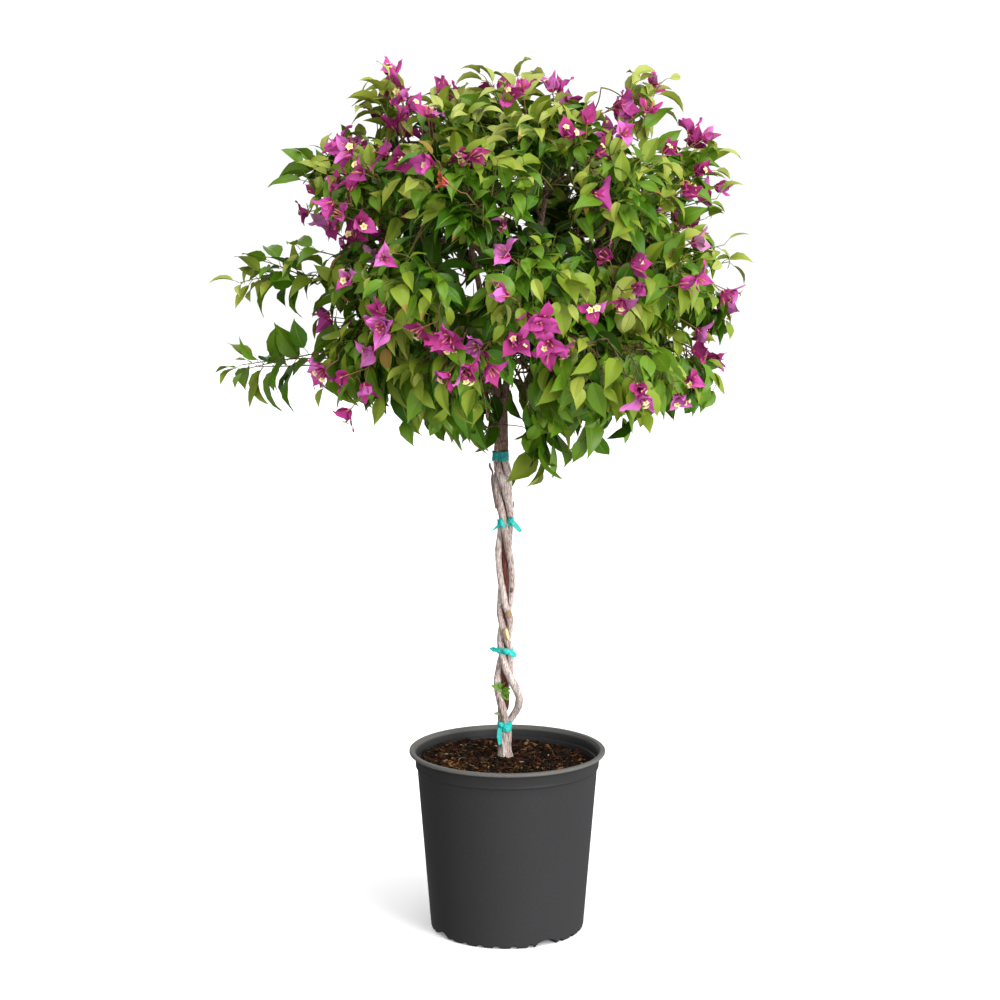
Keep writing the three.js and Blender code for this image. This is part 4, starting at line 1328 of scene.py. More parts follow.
# Single shoots that close the gaps between the sprays at the crown's two sides, and hang from its
# skirt on both sides of the stem.
SIDE_SHOOTS = [
    ((0.175, -0.010, 0.905), (0.262, -0.020, 0.940)),
    ((0.170, 0.015, 0.930), (0.268, 0.012, 0.962)),
    ((0.190, -0.020, 0.870), (0.275, -0.030, 0.905)),
    ((0.195, 0.020, 0.850), (0.287, 0.010, 0.882)),
    ((-0.185, -0.030, 0.880), (-0.262, -0.045, 0.900)),
    ((-0.180, 0.010, 0.865), (-0.250, 0.012, 0.868)),
    ((-0.175, -0.030, 0.840), (-0.240, -0.040, 0.815)),
    ((-0.180, 0.020, 0.800), (-0.250, 0.010, 0.775)),
    ((-0.028, 0.012, 0.735), (-0.026, 0.008, 0.668)),
    ((-0.058, -0.045, 0.740), (-0.052, -0.065, 0.684)),
    ((0.100, -0.050, 0.730), (0.102, -0.080, 0.670)),
    ((0.135, -0.020, 0.740), (0.142, -0.040, 0.684)),
    ((0.160, -0.040, 0.750), (0.168, -0.060, 0.692)),
    ((0.048, -0.035, 0.705), (0.035, -0.045, 0.636)),
]
INNER_TRIES = 680
BAND_SHOOTS = 30
FAN_SHOOTS = 3
shoot_sets = [
    skin_shoots, inner_shoots(INNER_TRIES, 203), bloom_shoots(skin_shoots["tip"]),
    band_shoots(BAND_SHOOTS, 206), hand_shoots(SIDE_SHOOTS),
]
for number, name in enumerate(LONG_SPRAYS):
    shoot_sets.append(fan_shoots(name, FAN_SHOOTS, 204 + number))
shoots = {key: np.concatenate([each[key] for each in shoot_sets]) for key in skin_shoots}
SHOOT_COUNT = len(shoots["foot"])
FIRST_FAN = SHOOT_COUNT - FAN_SHOOTS * len(LONG_SPRAYS)
FIRST_BAND = FIRST_FAN - len(SIDE_SHOOTS) - BAND_SHOOTS
print("shoots:", SHOOT_COUNT, "of which inside the crown:", int(shoots["inner"].sum()))

# %% [markdown]
# ## Branching
# A tree joins its shoots with little wood, but it also keeps the way from the trunk to each shoot
# short. The rule below does both. It starts with points along the leaders and limbs. At each turn
# it joins the shoot that is cheapest to reach, where the cost is the length of new wood plus a
# share of the length already run from the fork. Twigs grow thicker towards the fork by the old rule
# that the sections of all twigs together stay the same.

# %% The branching rule
THRIFT = 0.42
TWIG_RADIUS = 0.00075
SECTION_POWER = 2.5


def branch_out(seeds, runs, targets):
    """Joins every target to the net that grows from the seeds. Returns all points and, for each,
    the number of the point that it grows from (-1 for a seed)."""
    points = np.concatenate([seeds, targets])
    run = np.concatenate([runs, np.zeros(len(targets))])
    parent = np.full(len(points), -1)
    gap = np.linalg.norm(targets[:, None] - seeds[None], axis=-1)
    cost = gap + THRIFT * runs[None]
    best = cost.argmin(1)
    cost = cost.min(1)
    is_waiting = np.ones(len(targets), bool)
    order = []
    for _ in range(len(targets)):
        chosen = int(np.argmin(np.where(is_waiting, cost, np.inf)))
        is_waiting[chosen] = False
        number = len(seeds) + chosen
        parent[number] = best[chosen]
        run[number] = run[best[chosen]] + np.linalg.norm(targets[chosen] - points[best[chosen]])
        order.append(number)
        offer = np.linalg.norm(targets - targets[chosen], axis=-1) + THRIFT * run[number]
        is_better = is_waiting & (offer < cost)
        cost[is_better] = offer[is_better]
        best[is_better] = number
    return points, parent, order


seed_points = np.concatenate([
    path[12 if name.startswith("leader") else 10::3] for name, path in bough_paths.items()
])
seed_runs = np.linalg.norm(seed_points - trunk_axis(FORK_HEIGHT), axis=-1)

# Points between the stem and the feet of some shoots, which the wood may use on its way.
CARRIERS = 170
draw = np.random.default_rng(211)
carrier_pick = draw.integers(0, len(tip_points), CARRIERS)
carrier_axis = tip_points[carrier_pick] * (0, 0, 1) + (0, 0.012, 0)
carriers = lerp(carrier_axis, foot_points[carrier_pick], draw.uniform(0.35, 0.9, CARRIERS)[:, None])
carriers[:, 2] = np.maximum(carriers[:, 2], CROWN_LOW + 0.045)
targets = np.concatenate([shoots["foot"], carriers])
net_points, net_parent, net_order = branch_out(seed_points, seed_runs, targets)

section = np.zeros(len(net_points))
section[len(seed_points):len(seed_points) + SHOOT_COUNT] = TWIG_RADIUS**SECTION_POWER
section[len(seed_points) + SHOOT_COUNT:] = (0.6 * TWIG_RADIUS) ** SECTION_POWER
for number in reversed(net_order):
    section[net_parent[number]] += section[number]
net_radius = np.minimum(section ** (1 / SECTION_POWER), LIMB_TIP)
print("net:", len(net_points), "points; thickest grown bough", round(float(net_radius[net_order].max()), 4))


# %% Boughs and twigs as limbs
def runs_of_wood():
    """The net as runs: each run starts where it leaves a thicker one and goes on along the
    thickest child to a tip. A run is a list of point numbers."""
    children = {}
    for number in net_order:
        children.setdefault(int(net_parent[number]), []).append(number)
    starts = [
        (parent, child) for parent in children if parent < len(seed_points) for child in children[parent]
    ]
    found = []
    while starts:
        parent, number = starts.pop()
        run = [parent, number]
        while number in children:
            following = sorted(children[number], key=lambda child: section[child])
            starts += [(number, child) for child in following[:-1]]
            number = following[-1]
            run.append(number)
        found.append(run)
    return found


STEPS_EACH = 4
THICK_TWIG = 0.0013
wood_parts = []
for run in runs_of_wood():
    radii = net_radius[run].copy()
    radii[0] = min(radii[0], radii[1] * 1.15)
    path, radius = curve_through(net_points[run], radii, STEPS_EACH * (len(run) - 1) + 1)
    sides = 8 if radius.max() > THICK_TWIG else 5
    wood_parts.append(one_limb(path, radius, sides))
TWIG_BARK = uneven_finish(
    "twig_bark", [(0.3, (54, 40, 28)), (0.5, (92, 72, 50)), (0.7, (130, 108, 78))],
    0.75, 0.4, 200, 700, 0.5, 0.0004,
)
piece("grown_boughs", joined(wood_parts), [TWIG_BARK])

# %% [markdown]
# ## Leaves
# A bougainvillea leaf is egg-shaped with a long drawn-out tip, folded a little along its midrib,
# and arched from stalk to tip. One function makes any number of such blades at once. Each blade is
# a small net: rows from base to tip and six points across, the middle two close together, so that
# the strip between them is the pale midrib. The half width at t of the length is the outline
# function; the middle line bends down by an angle that grows towards the tip; and the two halves
# rise from it, curve over at the edge and wave a little.


# %% Blades
ROWS = np.array([0.05, 0.18, 0.36, 0.56, 0.76, 0.90])
ACROSS = np.array([-1, -0.52, -0.05, 0.05, 0.52, 1])
THROAT_ROWS, TIP_ROWS = 0.9, 0.9


def leaf_outline(t):
    """Widest near the third of the length, and drawn to a long tip: a sine of a root of t, raised
    to a power that grows along the blade."""
    return np.sin(math.pi * t**0.70) ** (1 + 0.6 * t)


def bract_outline(t):
    """Broad and heart-shaped, with a drawn-out point."""
    return np.sin(math.pi * t**0.62) ** (0.85 + 0.55 * t)


def blades(foot, way, face, length, ratio, outline, fold, cup, curl, wave, twist, draw):
    """Blades as (points, faces, zones of one blade's faces). Every argument but the outline has one
    value per blade: foot point, direction, the way the upper side faces, length, width to length,
    and the amounts of fold, edge curve, arching, edge wave and twist."""
    count = len(foot)
    face = unit(face - (face * way).sum(-1, keepdims=True) * way)
    side = np.cross(face, way)
    t = np.concatenate([[0], ROWS, [1]])
    bend = curl[:, None] * t**1.25
    middle = (bend[:, 1:] + bend[:, :-1]) / 2
    step = np.diff(t)
    run = np.concatenate([np.zeros((count, 1)), np.cumsum(np.cos(middle) * step, 1)], 1)
    drop = np.concatenate([np.zeros((count, 1)), np.cumsum(np.sin(middle) * step, 1)], 1)
    line = foot[:, None] + length[:, None, None] * (
        run[..., None] * way[:, None] - drop[..., None] * face[:, None]
    )
    over = np.sin(bend)[..., None] * way[:, None] + np.cos(bend)[..., None] * face[:, None]
    turn = (twist[:, None] * t)[..., None]
    aside = side[:, None] * np.cos(turn) + over * np.sin(turn)
    over = over * np.cos(turn) - side[:, None] * np.sin(turn)
    inner = slice(1, -1)
    half = (length * ratio / 2)[:, None] * outline(ROWS)
    phase = draw.uniform(0, 2 * math.pi, (count, 1, 1)) + np.where(ACROSS > 0, 1.9, 0)
    edge = np.sin(phase + 2 * math.pi * 1.4 * ROWS[:, None]) * ACROSS**2
    height = half[..., None] * (fold[:, None, None] * np.abs(ACROSS) - cup[:, None, None] * ACROSS**2)
    height = height + (wave * length)[:, None, None] * edge
    net = line[:, inner, None] + (half[..., None] * ACROSS)[..., None] * aside[:, inner, None]
    net = net + height[..., None] * over[:, inner, None]
    points = np.concatenate([net.reshape(count, -1, 3), line[:, :1], line[:, -1:]], 1)
    rows, columns = len(ROWS), len(ACROSS)
    low = np.arange(columns - 1)
    top = (rows - 1) * columns + low
    base_fan = np.stack([low + 1, low, np.full(columns - 1, rows * columns)], -1)
    tip_fan = np.stack([top, top + 1, np.full(columns - 1, rows * columns + 1)], -1)
    one = np.concatenate([net_faces(rows, columns), base_fan, tip_fan])[:, ::-1]
    along = np.concatenate([np.repeat(np.arange(rows), columns), [-1, rows]])[one].mean(1)
    zones = np.select([along < THROAT_ROWS, along > rows - 1 - TIP_ROWS], ["throat", "tip"], "blade")
    corner = np.concatenate([np.tile(ACROSS, rows), [0, 0]])
    zones[np.abs(corner[one]).max(1) < 0.1] = "midrib"
    return *repeated(points, one), zones


def part_of(shape, chosen):
    """Only the chosen blades of a table from `blades`, as (points, faces)."""
    points, faces, zones = shape
    size = len(points) // (len(faces) // len(zones))
    old = np.arange(len(points)).reshape(-1, size)[chosen].ravel()
    renumber = np.full(len(points), -1)
    renumber[old] = np.arange(len(old))
    return points[old], renumber[faces.reshape(-1, len(zones), 3)[chosen]].reshape(-1, 3)


def finish_table(zones, blade, **others):
    """The finish number of every face: each blade's own number, or in a named zone its other."""
    table = np.repeat(blade[:, None], len(zones), 1)
    for zone, numbers in others.items():
        table[:, zones == zone] = np.broadcast_to(numbers, len(blade))[:, None]
    return table.ravel()


# %% The shoots' own curves
def shoot_curves(which, steps, ends=1.0):
    """Points (shoots, steps, 3) along the chosen shoots: a quadratic curve from foot to tip whose
    control point stands above the middle by the shoot's arch times its length. `ends` is the share
    of the curve that is kept, from the foot on."""
    foot, tip = shoots["foot"][which], shoots["tip"][which]
    length = np.linalg.norm(tip - foot, axis=-1)
    control = (foot + tip) / 2
    control[:, 2] += shoots["arch"][which] * length
    t = np.linspace(0, 1, steps)[None, :, None] * np.reshape(ends, (-1, 1, 1))
    return (1 - t) ** 2 * foot[:, None] + 2 * (1 - t) * t * control[:, None] + t**2 * tip[:, None]


everyone = np.arange(SHOOT_COUNT)

# %% [markdown]
# ## Leaves along the shoots
# Leaves stand singly along a shoot, each about three eighths of a turn round from the one before.
# The lowest are the oldest and largest. At the tip they stay small, pale and upright. Light and
# weight decide how a leaf lies: its upper side turns to the sky and to the outside of the crown,
# and its tip hangs, lightly at the top of the crown and steeply at the skirt.

# %% Leaves
LEAF_LENGTH = 0.047
PHYLLOTAXY = math.radians(137.5)
GREENS = [
    plain_finish("leaf_in_the_shade", (30, 52, 5), 0.45, 0.10),
    plain_finish("leaf_deep_green", (45, 80, 9), 0.36, 0.15),
    plain_finish("leaf_full_green", (64, 105, 15), 0.32, 0.20),
    plain_finish("leaf_fresh_green", (87, 122, 24), 0.32, 0.20),
    plain_finish("leaf_olive_green", (113, 132, 34), 0.35, 0.20),
    plain_finish("leaf_young_green", (138, 149, 54), 0.38, 0.20),
    plain_finish("leaf_tip_yellow", (150, 158, 78), 0.42, 0.20),
    plain_finish("leaf_bronze_tip", (128, 100, 38), 0.45, 0.2),
    plain_finish("midrib_pale_green", (108, 130, 48), 0.5, 0.15),
]
BRONZE, MIDRIB = len(GREENS) - 2, len(GREENS) - 1


def leaves_along(which, slots, start, seed, size=1.0, hang_share=1.0, youngest=0.64):
    """A table of the leaves of the chosen shoots, `slots` on each from the share `start` of its
    length on: foot, way, face and length, age from 0 at the shoot's tip to 1 at its foot, height
    in the crown, and the foot of the stalk. `size` scales every leaf, `hang_share` how far the
    leaves hang, and `youngest` is how large a tip leaf is beside a grown one, in the upper crown."""
    draw = np.random.default_rng(seed)
    which = np.asarray(which)
    curves = shoot_curves(which, 33)
    forward, across, beside = cross_ways(curves)
    t = start + (1 - start) * np.linspace(0, 1, slots) ** 0.9
    t = np.clip(t[None] + draw.normal(0, 0.02, (len(which), slots)), start * 0.5, 1)
    index = np.round(t * 32).astype(int)
    row = np.arange(len(which))[:, None]
    place, ahead = curves[row, index], forward[row, index]
    side, cross = across[row, index], beside[row, index]
    turn = draw.uniform(0, 2 * math.pi, (len(which), 1)) + PHYLLOTAXY * np.arange(slots)
    turn = (turn + draw.normal(0, 0.25, turn.shape))[..., None]
    spoke = side * np.cos(turn) + cross * np.sin(turn)
    age = 1 - t
    high = rise_share(place)
    grown = lerp(lerp(0.75, youngest, smoothstep(high, 0.0, 0.4)), 1.0, smoothstep(age, 0.0, 0.34))
    hang = lerp(1.25, 0.10, smoothstep(high, 0.05, 0.85)) * (0.3 + 0.7 * grown)
    hang = hang * draw.uniform(0.4, 1.5, hang.shape) * hang_share
    rise = lerp(0.45, 0.90, smoothstep(high, 0.25, 0.8)) + 0.8 * (1 - grown)
    way = unit(
        ahead * rise[..., None] + spoke * 0.85
        - hang[..., None] * np.array([0, 0, 1]) + draw.normal(0, 0.22, place.shape)
    )
    out = shoots["out"][which][:, None]
    face = (
        np.array([0, 0, 0.85]) + ahead * 0.30 + out * lerp(0.75, 0.05, high)[..., None]
        + draw.normal(0, 0.38, place.shape)
    )
    length = LEAF_LENGTH * size * grown * draw.uniform(0.74, 1.18, grown.shape)
    length = length * lerp(1.25, 1.0, smoothstep(high, 0.02, 0.5))
    stalk = (0.004 + 0.16 * length)[..., None] * unit(spoke * 0.7 + ahead * 0.5 + way * 0.6)
    flat = (-1, 3)
    return {
        "foot": (place + stalk).reshape(flat), "way": way.reshape(flat), "face": face.reshape(flat),
        "length": length.ravel(), "age": age.ravel(), "high": high.ravel(),
        "shoot": np.repeat(which, slots), "inner": np.repeat(shoots["inner"][which], slots),
        "stalk_foot": place.reshape(flat),
    }


is_long = everyone >= FIRST_FAN
outer_group = leaves_along(everyone[~shoots["inner"] & ~is_long], 7, 0.12, 221)
inner_group = leaves_along(everyone[shoots["inner"]], 6, 0.10, 222, size=1.10)
long_group = leaves_along(everyone[is_long], 10, 0.12, 223, hang_share=0.10, youngest=0.66)
leaf_groups = (outer_group, inner_group, long_group)
leaf = {key: np.concatenate([group[key] for group in leaf_groups]) for key in outer_group}

# %% [markdown]
# ## Leaves left off
# Drawing leaves evenly gives a ball with no air in it, so some are taken away again. A leaf that
# reaches far out of the crown's skin goes, and the further out, the more surely. The skirt is
# thinned, so that the boughs' ends show. A leaf that would cover a truss goes. Two places on the
# show side are opened: the window in which the fork shows under the crown, and a shallow hollow
# between the two upper lobes.

# %% Leaves left off
draw = np.random.default_rng(231)
leaf_reach = leaf["foot"] + leaf["way"] * (leaf["length"] * 0.85)[:, None]
is_proud = above_skin(leaf_reach) > draw.exponential(0.007, len(leaf_reach))
is_proud &= leaf["shoot"] < FIRST_BAND
thinning = 0.34 * (1 - smoothstep(leaf["high"], 0.1, 0.45))
is_thinned = ~leaf["inner"] & (draw.uniform(size=len(thinning)) < thinning)

BLOOM_CLEARANCE, BLOOM_DEPTH = 0.017, 0.022
leaf_middle = leaf["foot"] + leaf["way"] * (leaf["length"] * 0.5)[:, None]
offset = leaf_middle[:, None] - truss_places[None]
along = (offset * truss_out[None]).sum(-1)
aside = np.sqrt(np.maximum((offset**2).sum(-1) - along**2, 0))
hides_bloom = ((aside < BLOOM_CLEARANCE) & (along > -BLOOM_DEPTH)).any(1)

x, y, z = leaf_middle.T
in_window = (np.abs(x + 0.003) < 0.034) & (y < -0.004) & (z < 0.746 - 0.09 * y)
in_window &= draw.uniform(size=len(in_window)) < 0.94
in_hollow = (((x - 0.012) / 0.070) ** 2 + ((z - 0.968) / 0.034) ** 2 < 1) & (y < -0.03)
in_hollow &= draw.uniform(size=len(in_hollow)) < 0.45
is_kept = ~(is_proud | is_thinned | hides_bloom | in_window | in_hollow)
print("leaves left off: too far out", int(is_proud.sum()), "thinned", int(is_thinned.sum()),
      "over a bloom", int(hides_bloom.sum()), "in front of the fork", int(in_window.sum()),
      "in the hollow", int(in_hollow.sum()), "of", len(is_kept))
leaf = {key: values[is_kept] for key, values in leaf.items()}
LEAF_COUNT = len(leaf["length"])

# %% [markdown]
# ## The shoots' wood
# Each shoot is a thin tube along its curve, as far as the last leaf that it kept. A shoot left
# with none stays as a short stub.

# %% Green shoots
YOUNG_WOOD = plain_finish("young_green_wood", (98, 108, 36), 0.6, 0.3)
SHORTEST_STUB = 0.15
last_leaf = np.full(SHOOT_COUNT, SHORTEST_STUB)
np.maximum.at(last_leaf, leaf["shoot"], 1 - leaf["age"])
shoot_paths = shoot_curves(everyone, 8, last_leaf)
shoot_radii = np.broadcast_to(np.linspace(0.00105, 0.0006, 8), (SHOOT_COUNT, 8))
shoot_shape = tubes(shoot_paths, shoot_radii, 5)
shoot_tints = per_limb(shoot_shape, np.where(rise_share(shoots["tip"]) > 0.35, 1, 0))
piece("green_shoots", shoot_shape, [TWIG_BARK, YOUNG_WOOD], (), shoot_tints)

# %% [markdown]
# ## Leaf colours
# A crown isn't one green. Each shoot has a tone of its own, and its youngest leaves are yellowish or
# bronze. Light and shade are painted into the greens too: by its height in the crown a leaf is
# painted paler where the crown is lit and darker where it is shaded, leaves inside the crown are
# painted darker as shade, and about the middle of the show side a painted shadow darkens the
# hollow. Here a tone is worked out for each leaf and cut into seven greens. It depends on the leaf's
# height, its shoot, its age, whether it is inside the crown, and a little chance.

# %% Leaf colours and blades
# Painted light and shade by height: the skirt and the top of the crown are painted paler, as lit, and the
# middle darker, as shaded.
LIGHT_BY_HEIGHT = (
    [0, 0.08, 0.19, 0.28, 0.38, 0.56, 0.75, 0.94], [0.64, 0.47, 0.24, 0.34, 0.32, 0.29, 0.34, 0.72]
)
shoot_tone = draw.uniform(0, 1, SHOOT_COUNT)
paling = lerp(0.10, 0.36, smoothstep(leaf["high"], 0.10, 0.50)) * (1 - leaf["age"]) ** 2
tone = np.interp(leaf["high"], *LIGHT_BY_HEIGHT) + 0.22 * shoot_tone[leaf["shoot"]] + paling
# Painted shade: leaves inside the crown are made darker.
tone = tone + draw.normal(0, 0.06, LEAF_COUNT) - 0.28 * leaf["inner"]
# Painted shadow: the leaves in front about the middle of the show side are made darker, which deepens the
# hollow there.
off_painted_shade = np.hypot(leaf["foot"][:, 0] / 0.095, (leaf["foot"][:, 2] - 0.940) / 0.060)
tone = tone - 0.20 * (1 - smoothstep(off_painted_shade, 0.5, 1.3)) * (leaf["foot"][:, 1] < 0)
leaf_tint = np.clip((tone * BRONZE).astype(int), 0, BRONZE - 1)
is_young = (leaf["age"] < 0.3) & (leaf["high"] > 0.35)
leaf_tip_tint = np.where(is_young & (draw.uniform(size=LEAF_COUNT) < 0.18), BRONZE, leaf_tint)
leaf_tint[is_young & (leaf["age"] < 0.1) & (draw.uniform(size=LEAF_COUNT) < 0.03)] = BRONZE

leaf_shape = blades(
    leaf["foot"], leaf["way"], leaf["face"], leaf["length"],
    draw.uniform(0.43, 0.58, LEAF_COUNT) - 0.11 * leaf["high"], leaf_outline,
    draw.uniform(0.15, 0.75, LEAF_COUNT) + 0.35 * leaf["high"], draw.uniform(0.05, 0.40, LEAF_COUNT),
    draw.uniform(0.25, 1.1, LEAF_COUNT) + 0.6 * leaf["high"], draw.uniform(0.006, 0.030, LEAF_COUNT),
    draw.normal(0, 0.5, LEAF_COUNT), draw,
)

middle_height = np.median(leaf["foot"][:, 2])
is_upper = leaf["foot"][:, 2] >= middle_height
upper_nodes = [name for name in MASS_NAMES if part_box(name)[1].z >= middle_height + 0.05]
lower_nodes = [name for name in MASS_NAMES if name not in upper_nodes]
for name, chosen, nodes in (("upper", is_upper, upper_nodes), ("lower", ~is_upper, lower_nodes)):
    chosen = np.flatnonzero(chosen)
    piece(f"leaves_{name}_crown", part_of(leaf_shape, chosen), GREENS, nodes,
          finish_table(leaf_shape[2], leaf_tint[chosen], midrib=MIDRIB, tip=leaf_tip_tint[chosen]))

bent = lerp(leaf["stalk_foot"], leaf["foot"], 0.5) + (0, 0, 0.0008)
stalk_paths = np.stack([leaf["stalk_foot"], bent, leaf["foot"] + leaf["way"] * 0.001], 1)
stalk_radii = np.broadcast_to(np.array([0.00055, 0.00045, 0.0004]), stalk_paths.shape[:2])
piece("leaf_stalks", tubes(stalk_paths, stalk_radii, 3), [YOUNG_WOOD])
print("leaves:", LEAF_COUNT)

# %% [markdown]
# ## Blossom
# What looks like a bougainvillea's petals are three papery leaves, called bracts, round three small
# tubular flowers. Each bract is heart-shaped with a point. They open to a loose bell whose edges
# crinkle, and one or two of the three flowers inside open to a cream star with a yellow eye. The
# bracts are the leaves' own blades with a broader outline, set round the bloom's axis with their
# upper side inwards, and they bend away from it.

# %% Blooms of each truss
BRACTS = [
    plain_finish("bract_magenta", (179, 71, 144), 0.6, 0.12),
    plain_finish("bract_deep_magenta", (158, 51, 115), 0.6, 0.12),
    plain_finish("bract_bright_pink", (194, 104, 174), 0.6, 0.12),
    plain_finish("bract_purple", (139, 41, 98), 0.6, 0.12),
    plain_finish("bract_faded", (182, 124, 158), 0.65, 0.12),
    plain_finish("bract_dry", (150, 70, 36), 0.7, 0.12),
    plain_finish("bract_throat", (146, 36, 92), 0.65, 0.12),
    plain_finish("bract_midrib", (158, 52, 116), 0.65, 0.12),
]
PEDICEL = plain_finish("truss_stalk", (128, 92, 66), 0.6, 0.2)
draw = np.random.default_rng(311)
truss_of = np.repeat(np.arange(len(truss_places)), truss_counts)
BLOOM_COUNT = len(truss_of)
bloom_out = truss_out[truss_of]
spread_way = unit(bloom_out * 0.55 + draw.normal(0, 0.62, (BLOOM_COUNT, 3)))
fork_place = truss_places[truss_of] - bloom_out * 0.030
bloom_foot = truss_places[truss_of] - bloom_out * 0.017 + spread_way * 0.015
axis = unit(bloom_out * 0.45 + spread_way * 0.75 + (0, 0, -0.12) + draw.normal(0, 0.15, (BLOOM_COUNT, 3)))
across = unit(np.cross(axis, unit(draw.normal(0, 1, (BLOOM_COUNT, 3)))))
beside = np.cross(axis, across)
opening = np.radians(draw.uniform(14, 60, BLOOM_COUNT))
bloom_size = draw.uniform(0.85, 1.12, BLOOM_COUNT)
bloom_tint = draw.choice(5, BLOOM_COUNT, p=[0.36, 0.24, 0.20, 0.12, 0.08])
is_dry = truss_of == DRY_TRUSS
bloom_tint[is_dry], bloom_size[is_dry], opening[is_dry] = 5, 0.66, 0.3


def round_the_axis(number):
    """Directions square to the axes, at a third of a turn times the number."""
    turn = 2 * math.pi * number / 3
    return across * math.cos(turn) + beside * math.sin(turn)


bract_foot, bract_way, bract_face, bract_tint = [], [], [], []
for number in range(3):
    spoke = round_the_axis(number)
    angle = (opening + draw.normal(0, 0.12, BLOOM_COUNT))[:, None]
    bract_way.append(np.cos(angle) * axis + np.sin(angle) * spoke)
    bract_face.append(np.sin(angle) * axis - np.cos(angle) * spoke + draw.normal(0, 0.12, spoke.shape))
    bract_foot.append(bloom_foot + spoke * 0.0008)
    bract_tint.append(np.where(draw.uniform(size=BLOOM_COUNT) < 0.2, (bloom_tint + 1) % 3, bloom_tint))
bract_way, bract_face = unit(np.concatenate(bract_way)), np.concatenate(bract_face)
bract_foot, bract_tint = np.concatenate(bract_foot), np.concatenate(bract_tint)
BRACT_COUNT = len(bract_foot)
bract_shape = blades(
    bract_foot, bract_way, bract_face, np.tile(bloom_size, 3) * draw.uniform(0.025, 0.031, BRACT_COUNT),
    draw.uniform(0.60, 0.78, BRACT_COUNT), bract_outline,
    draw.uniform(0.15, 0.85, BRACT_COUNT), draw.uniform(0.0, 0.5, BRACT_COUNT),
    draw.uniform(-0.4, 1.2, BRACT_COUNT), draw.uniform(0.05, 0.11, BRACT_COUNT),
    draw.normal(0, 0.4, BRACT_COUNT), draw,
)
piece("bracts", bract_shape[:2], BRACTS, (),
      finish_table(bract_shape[2], bract_tint, throat=len(BRACTS) - 2, midrib=len(BRACTS) - 1))

# %% [markdown]
# ## Stalks and flowers of the blooms
# Each bloom hangs on a thin stalk. The stalks of a truss leave the nearest point of a shoot, run
# together to where they fork, and then part. Inside the bracts stand three narrow tubes: a closed
# one ends in a bud, and an open one carries a salver with five lobes round a small eye.

# %% Stalks of the blooms
shoot_points = shoot_paths.reshape(-1, 3)
nearest = np.linalg.norm(fork_place[:, None] - shoot_points[None], axis=-1).argmin(1)
start = shoot_points[nearest]
elbow = lerp(start, fork_place, 0.55) + (0, 0, 0.004)
parting = lerp(fork_place, bloom_foot, 0.6)
stem_paths = np.stack([start, elbow, fork_place, parting, bloom_foot + axis * 0.0015], 1)
stem_radii = np.broadcast_to(np.array([0.0009, 0.0008, 0.0007, 0.0006, 0.0008]), stem_paths.shape[:2])
piece("truss_stalks", tubes(stem_paths, stem_radii, 4), [PEDICEL])

# %% Flowers inside the bracts
TUBE_PINK = plain_finish("flower_tube_pink", (172, 74, 108), 0.6, 0.2)
BUD_TIP = plain_finish("flower_bud", (186, 116, 104), 0.6, 0.2)
CREAM = plain_finish("flower_cream", (228, 212, 156), 0.6, 0.1)
YELLOW_EYE = plain_finish("flower_yellow_eye", (212, 168, 64), 0.6, 0.1)
OPEN_SHARES = (0.50, 0.20, 0.05)
tube_paths, is_open_flower = [], []
for number, open_share in enumerate(OPEN_SHARES):
    spoke = round_the_axis(number)
    lean = unit(axis + spoke * 0.26 + draw.normal(0, 0.08, spoke.shape))
    length = bloom_size[:, None] * draw.uniform(0.013, 0.018, (BLOOM_COUNT, 1))
    foot = bloom_foot + spoke * 0.0018
    tube_paths.append(foot[:, None] + lean[:, None] * length[:, None] * np.linspace(0, 1, 5)[None, :, None])
    is_open_flower.append((draw.uniform(size=BLOOM_COUNT) < open_share) & ~is_dry)
tube_paths, is_open_flower = np.concatenate(tube_paths), np.concatenate(is_open_flower)
tube_radii = np.where(
    is_open_flower[:, None], np.array([0.0010, 0.0012, 0.0009, 0.0009, 0.0014]),
    np.array([0.0010, 0.0012, 0.0009, 0.0013, 0.0005]),
)
tube_shape = tubes(tube_paths, tube_radii, 5)
piece("flower_tubes", tube_shape, [TUBE_PINK, BUD_TIP], (),
      per_limb(tube_shape, np.where(is_open_flower, 0, 1)))


def stars(mouths, ways, size):
    """Five-lobed salvers: a centre point, an eye ring of ten points and a rim of ten, far out and
    near in by turns, each a little higher than the last."""
    mouths, size = mouths[:, None], size[:, None, None]
    side = unit(np.cross(ways, unit(np.cross(ways, (0.3, 0.5, 0.8)) + 1e-6)))
    other = np.cross(ways, side)
    now = np.arange(10)
    following = (now + 1) % 10
    turn = (now * math.pi / 5)[None, :, None]
    is_lobe = (now % 2 == 0)[None, :, None]
    ring = side[:, None] * np.cos(turn) + other[:, None] * np.sin(turn)
    high = ways[:, None] * size
    eye = mouths + ring * size * 0.30 + high * 0.05
    edge = mouths + ring * (np.where(is_lobe, 1.0, 0.70) * size) + high * np.where(is_lobe, 0.10, 0.28)
    points = np.concatenate([eye, edge, mouths - high * 0.02], 1)
    one = np.concatenate([
        np.stack([now, following, np.full(10, 20)], -1),
        np.stack([now, now + 10, following + 10], -1),
        np.stack([now, following + 10, following], -1),
    ])
    return *repeated(points, one), np.tile(np.repeat([1, 0], [10, 20]), len(points))


opened = tube_paths[is_open_flower]
star_ways = unit(opened[:, -1] - opened[:, -2])
star_sizes = draw.uniform(0.0046, 0.0058, len(opened))
*star_shape, star_finish = stars(opened[:, -1], star_ways, star_sizes)
piece("flower_stars", star_shape, [CREAM, YELLOW_EYE], (), star_finish)
print("blooms:", BLOOM_COUNT, "open flowers:", len(opened))
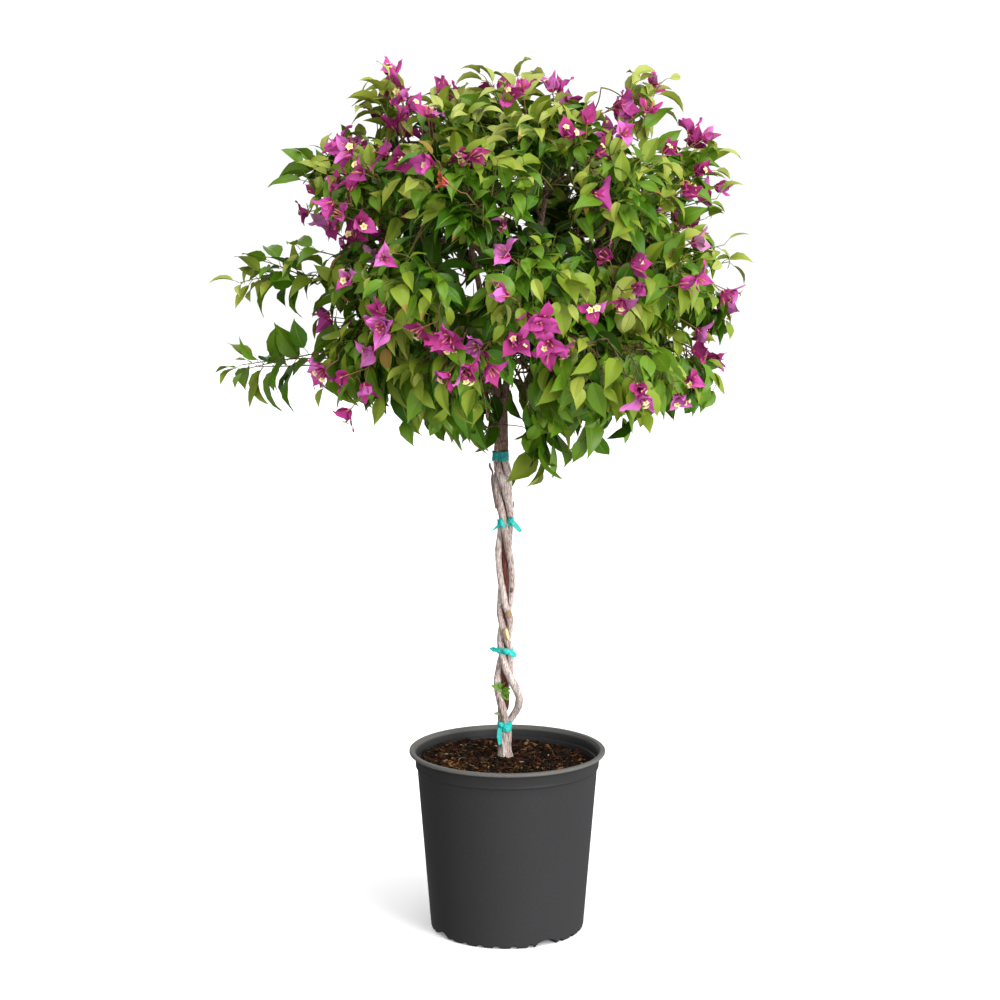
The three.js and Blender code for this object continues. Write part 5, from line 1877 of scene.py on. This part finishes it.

# %% [markdown]
# ## Sprouts on the braid
# A few young leaves break from the bark between the two lowest ties, a small grey one sits lower
# down, an older dark one shows behind the braid's right edge, and a dead curled one hangs from the
# spray beside the stem. They are the leaf blades again, each given one by one: how far it stands to
# the right, its height, the turn of its tip from upright to the right, its length and its colour.

# %% Sprouts on the braid
SPROUT_GREEN = plain_finish("sprout_bright_green", (86, 124, 38), 0.4, 0.2)
SPROUT_GREY = plain_finish("sprout_grey_green", (126, 138, 104), 0.6, 0.2)
DEAD_LEAF = plain_finish("dead_leaf", (92, 66, 44), 0.8, 0.1)
SPROUTS = [
    (-0.0046, 0.317, -62, 0.0170, 0), (-0.0044, 0.318, -20, 0.0115, 0), (-0.0029, 0.317, 35, 0.0130, 0),
    (-0.0029, 0.315, 75, 0.0135, 0), (-0.0034, 0.312, 125, 0.0150, 0), (-0.0044, 0.312, 165, 0.0125, 0),
    (-0.0049, 0.314, -115, 0.0100, 0), (-0.0029, 0.314, 95, 0.0130, 0), (-0.0026, 0.310, 140, 0.0120, 2),
    (-0.0075, 0.283, -80, 0.0085, 1),
]
draw = np.random.default_rng(321)
sprout_foot, sprout_way, sprout_out = [], [], []
for aside, height, turn, _, _ in SPROUTS:
    place, outwards = front_of_trunk(height, aside)
    place[1] = min(place[1], trunk_axis(height)[1] - 0.0075)
    turn = math.radians(turn)
    sprout_foot.append(place + outwards * 0.001)
    sprout_way.append(unit(np.array([math.sin(turn), 0, math.cos(turn)]) + outwards * 0.45))
    sprout_out.append(unit(outwards + (0, 0, 0.6)))
edge_leaf = trunk_axis(0.608) + (0.0100, 0.004, 0)
dead_leaf = np.array(SIDE_SHOOTS[-1][1])
sprout_foot = np.array(sprout_foot + [edge_leaf, dead_leaf])
sprout_way = unit(np.array(sprout_way + [(0.20, 0.05, -1), (-0.15, 0, -1)]))
sprout_out = np.array(sprout_out + [(0.5, -1, 0.2), (0.4, -1, 0)])
sprout_length = np.array([each[3] for each in SPROUTS] + [0.026, 0.034])
sprout_tint = np.array([each[4] for each in SPROUTS] + [2, 3])
is_dead = sprout_tint == 3
count = len(sprout_foot)
sprout_shape = blades(
    sprout_foot, sprout_way, sprout_out, sprout_length, np.where(is_dead, 0.25, 0.55), leaf_outline,
    np.full(count, 0.5), np.full(count, 0.2), np.where(is_dead, 1.6, 0.6), np.full(count, 0.02),
    draw.normal(0, 0.3, count), draw,
)
piece("trunk_sprouts", sprout_shape[:2], [SPROUT_GREEN, SPROUT_GREY, GREENS[1], DEAD_LEAF], (),
      finish_table(sprout_shape[2], sprout_tint))
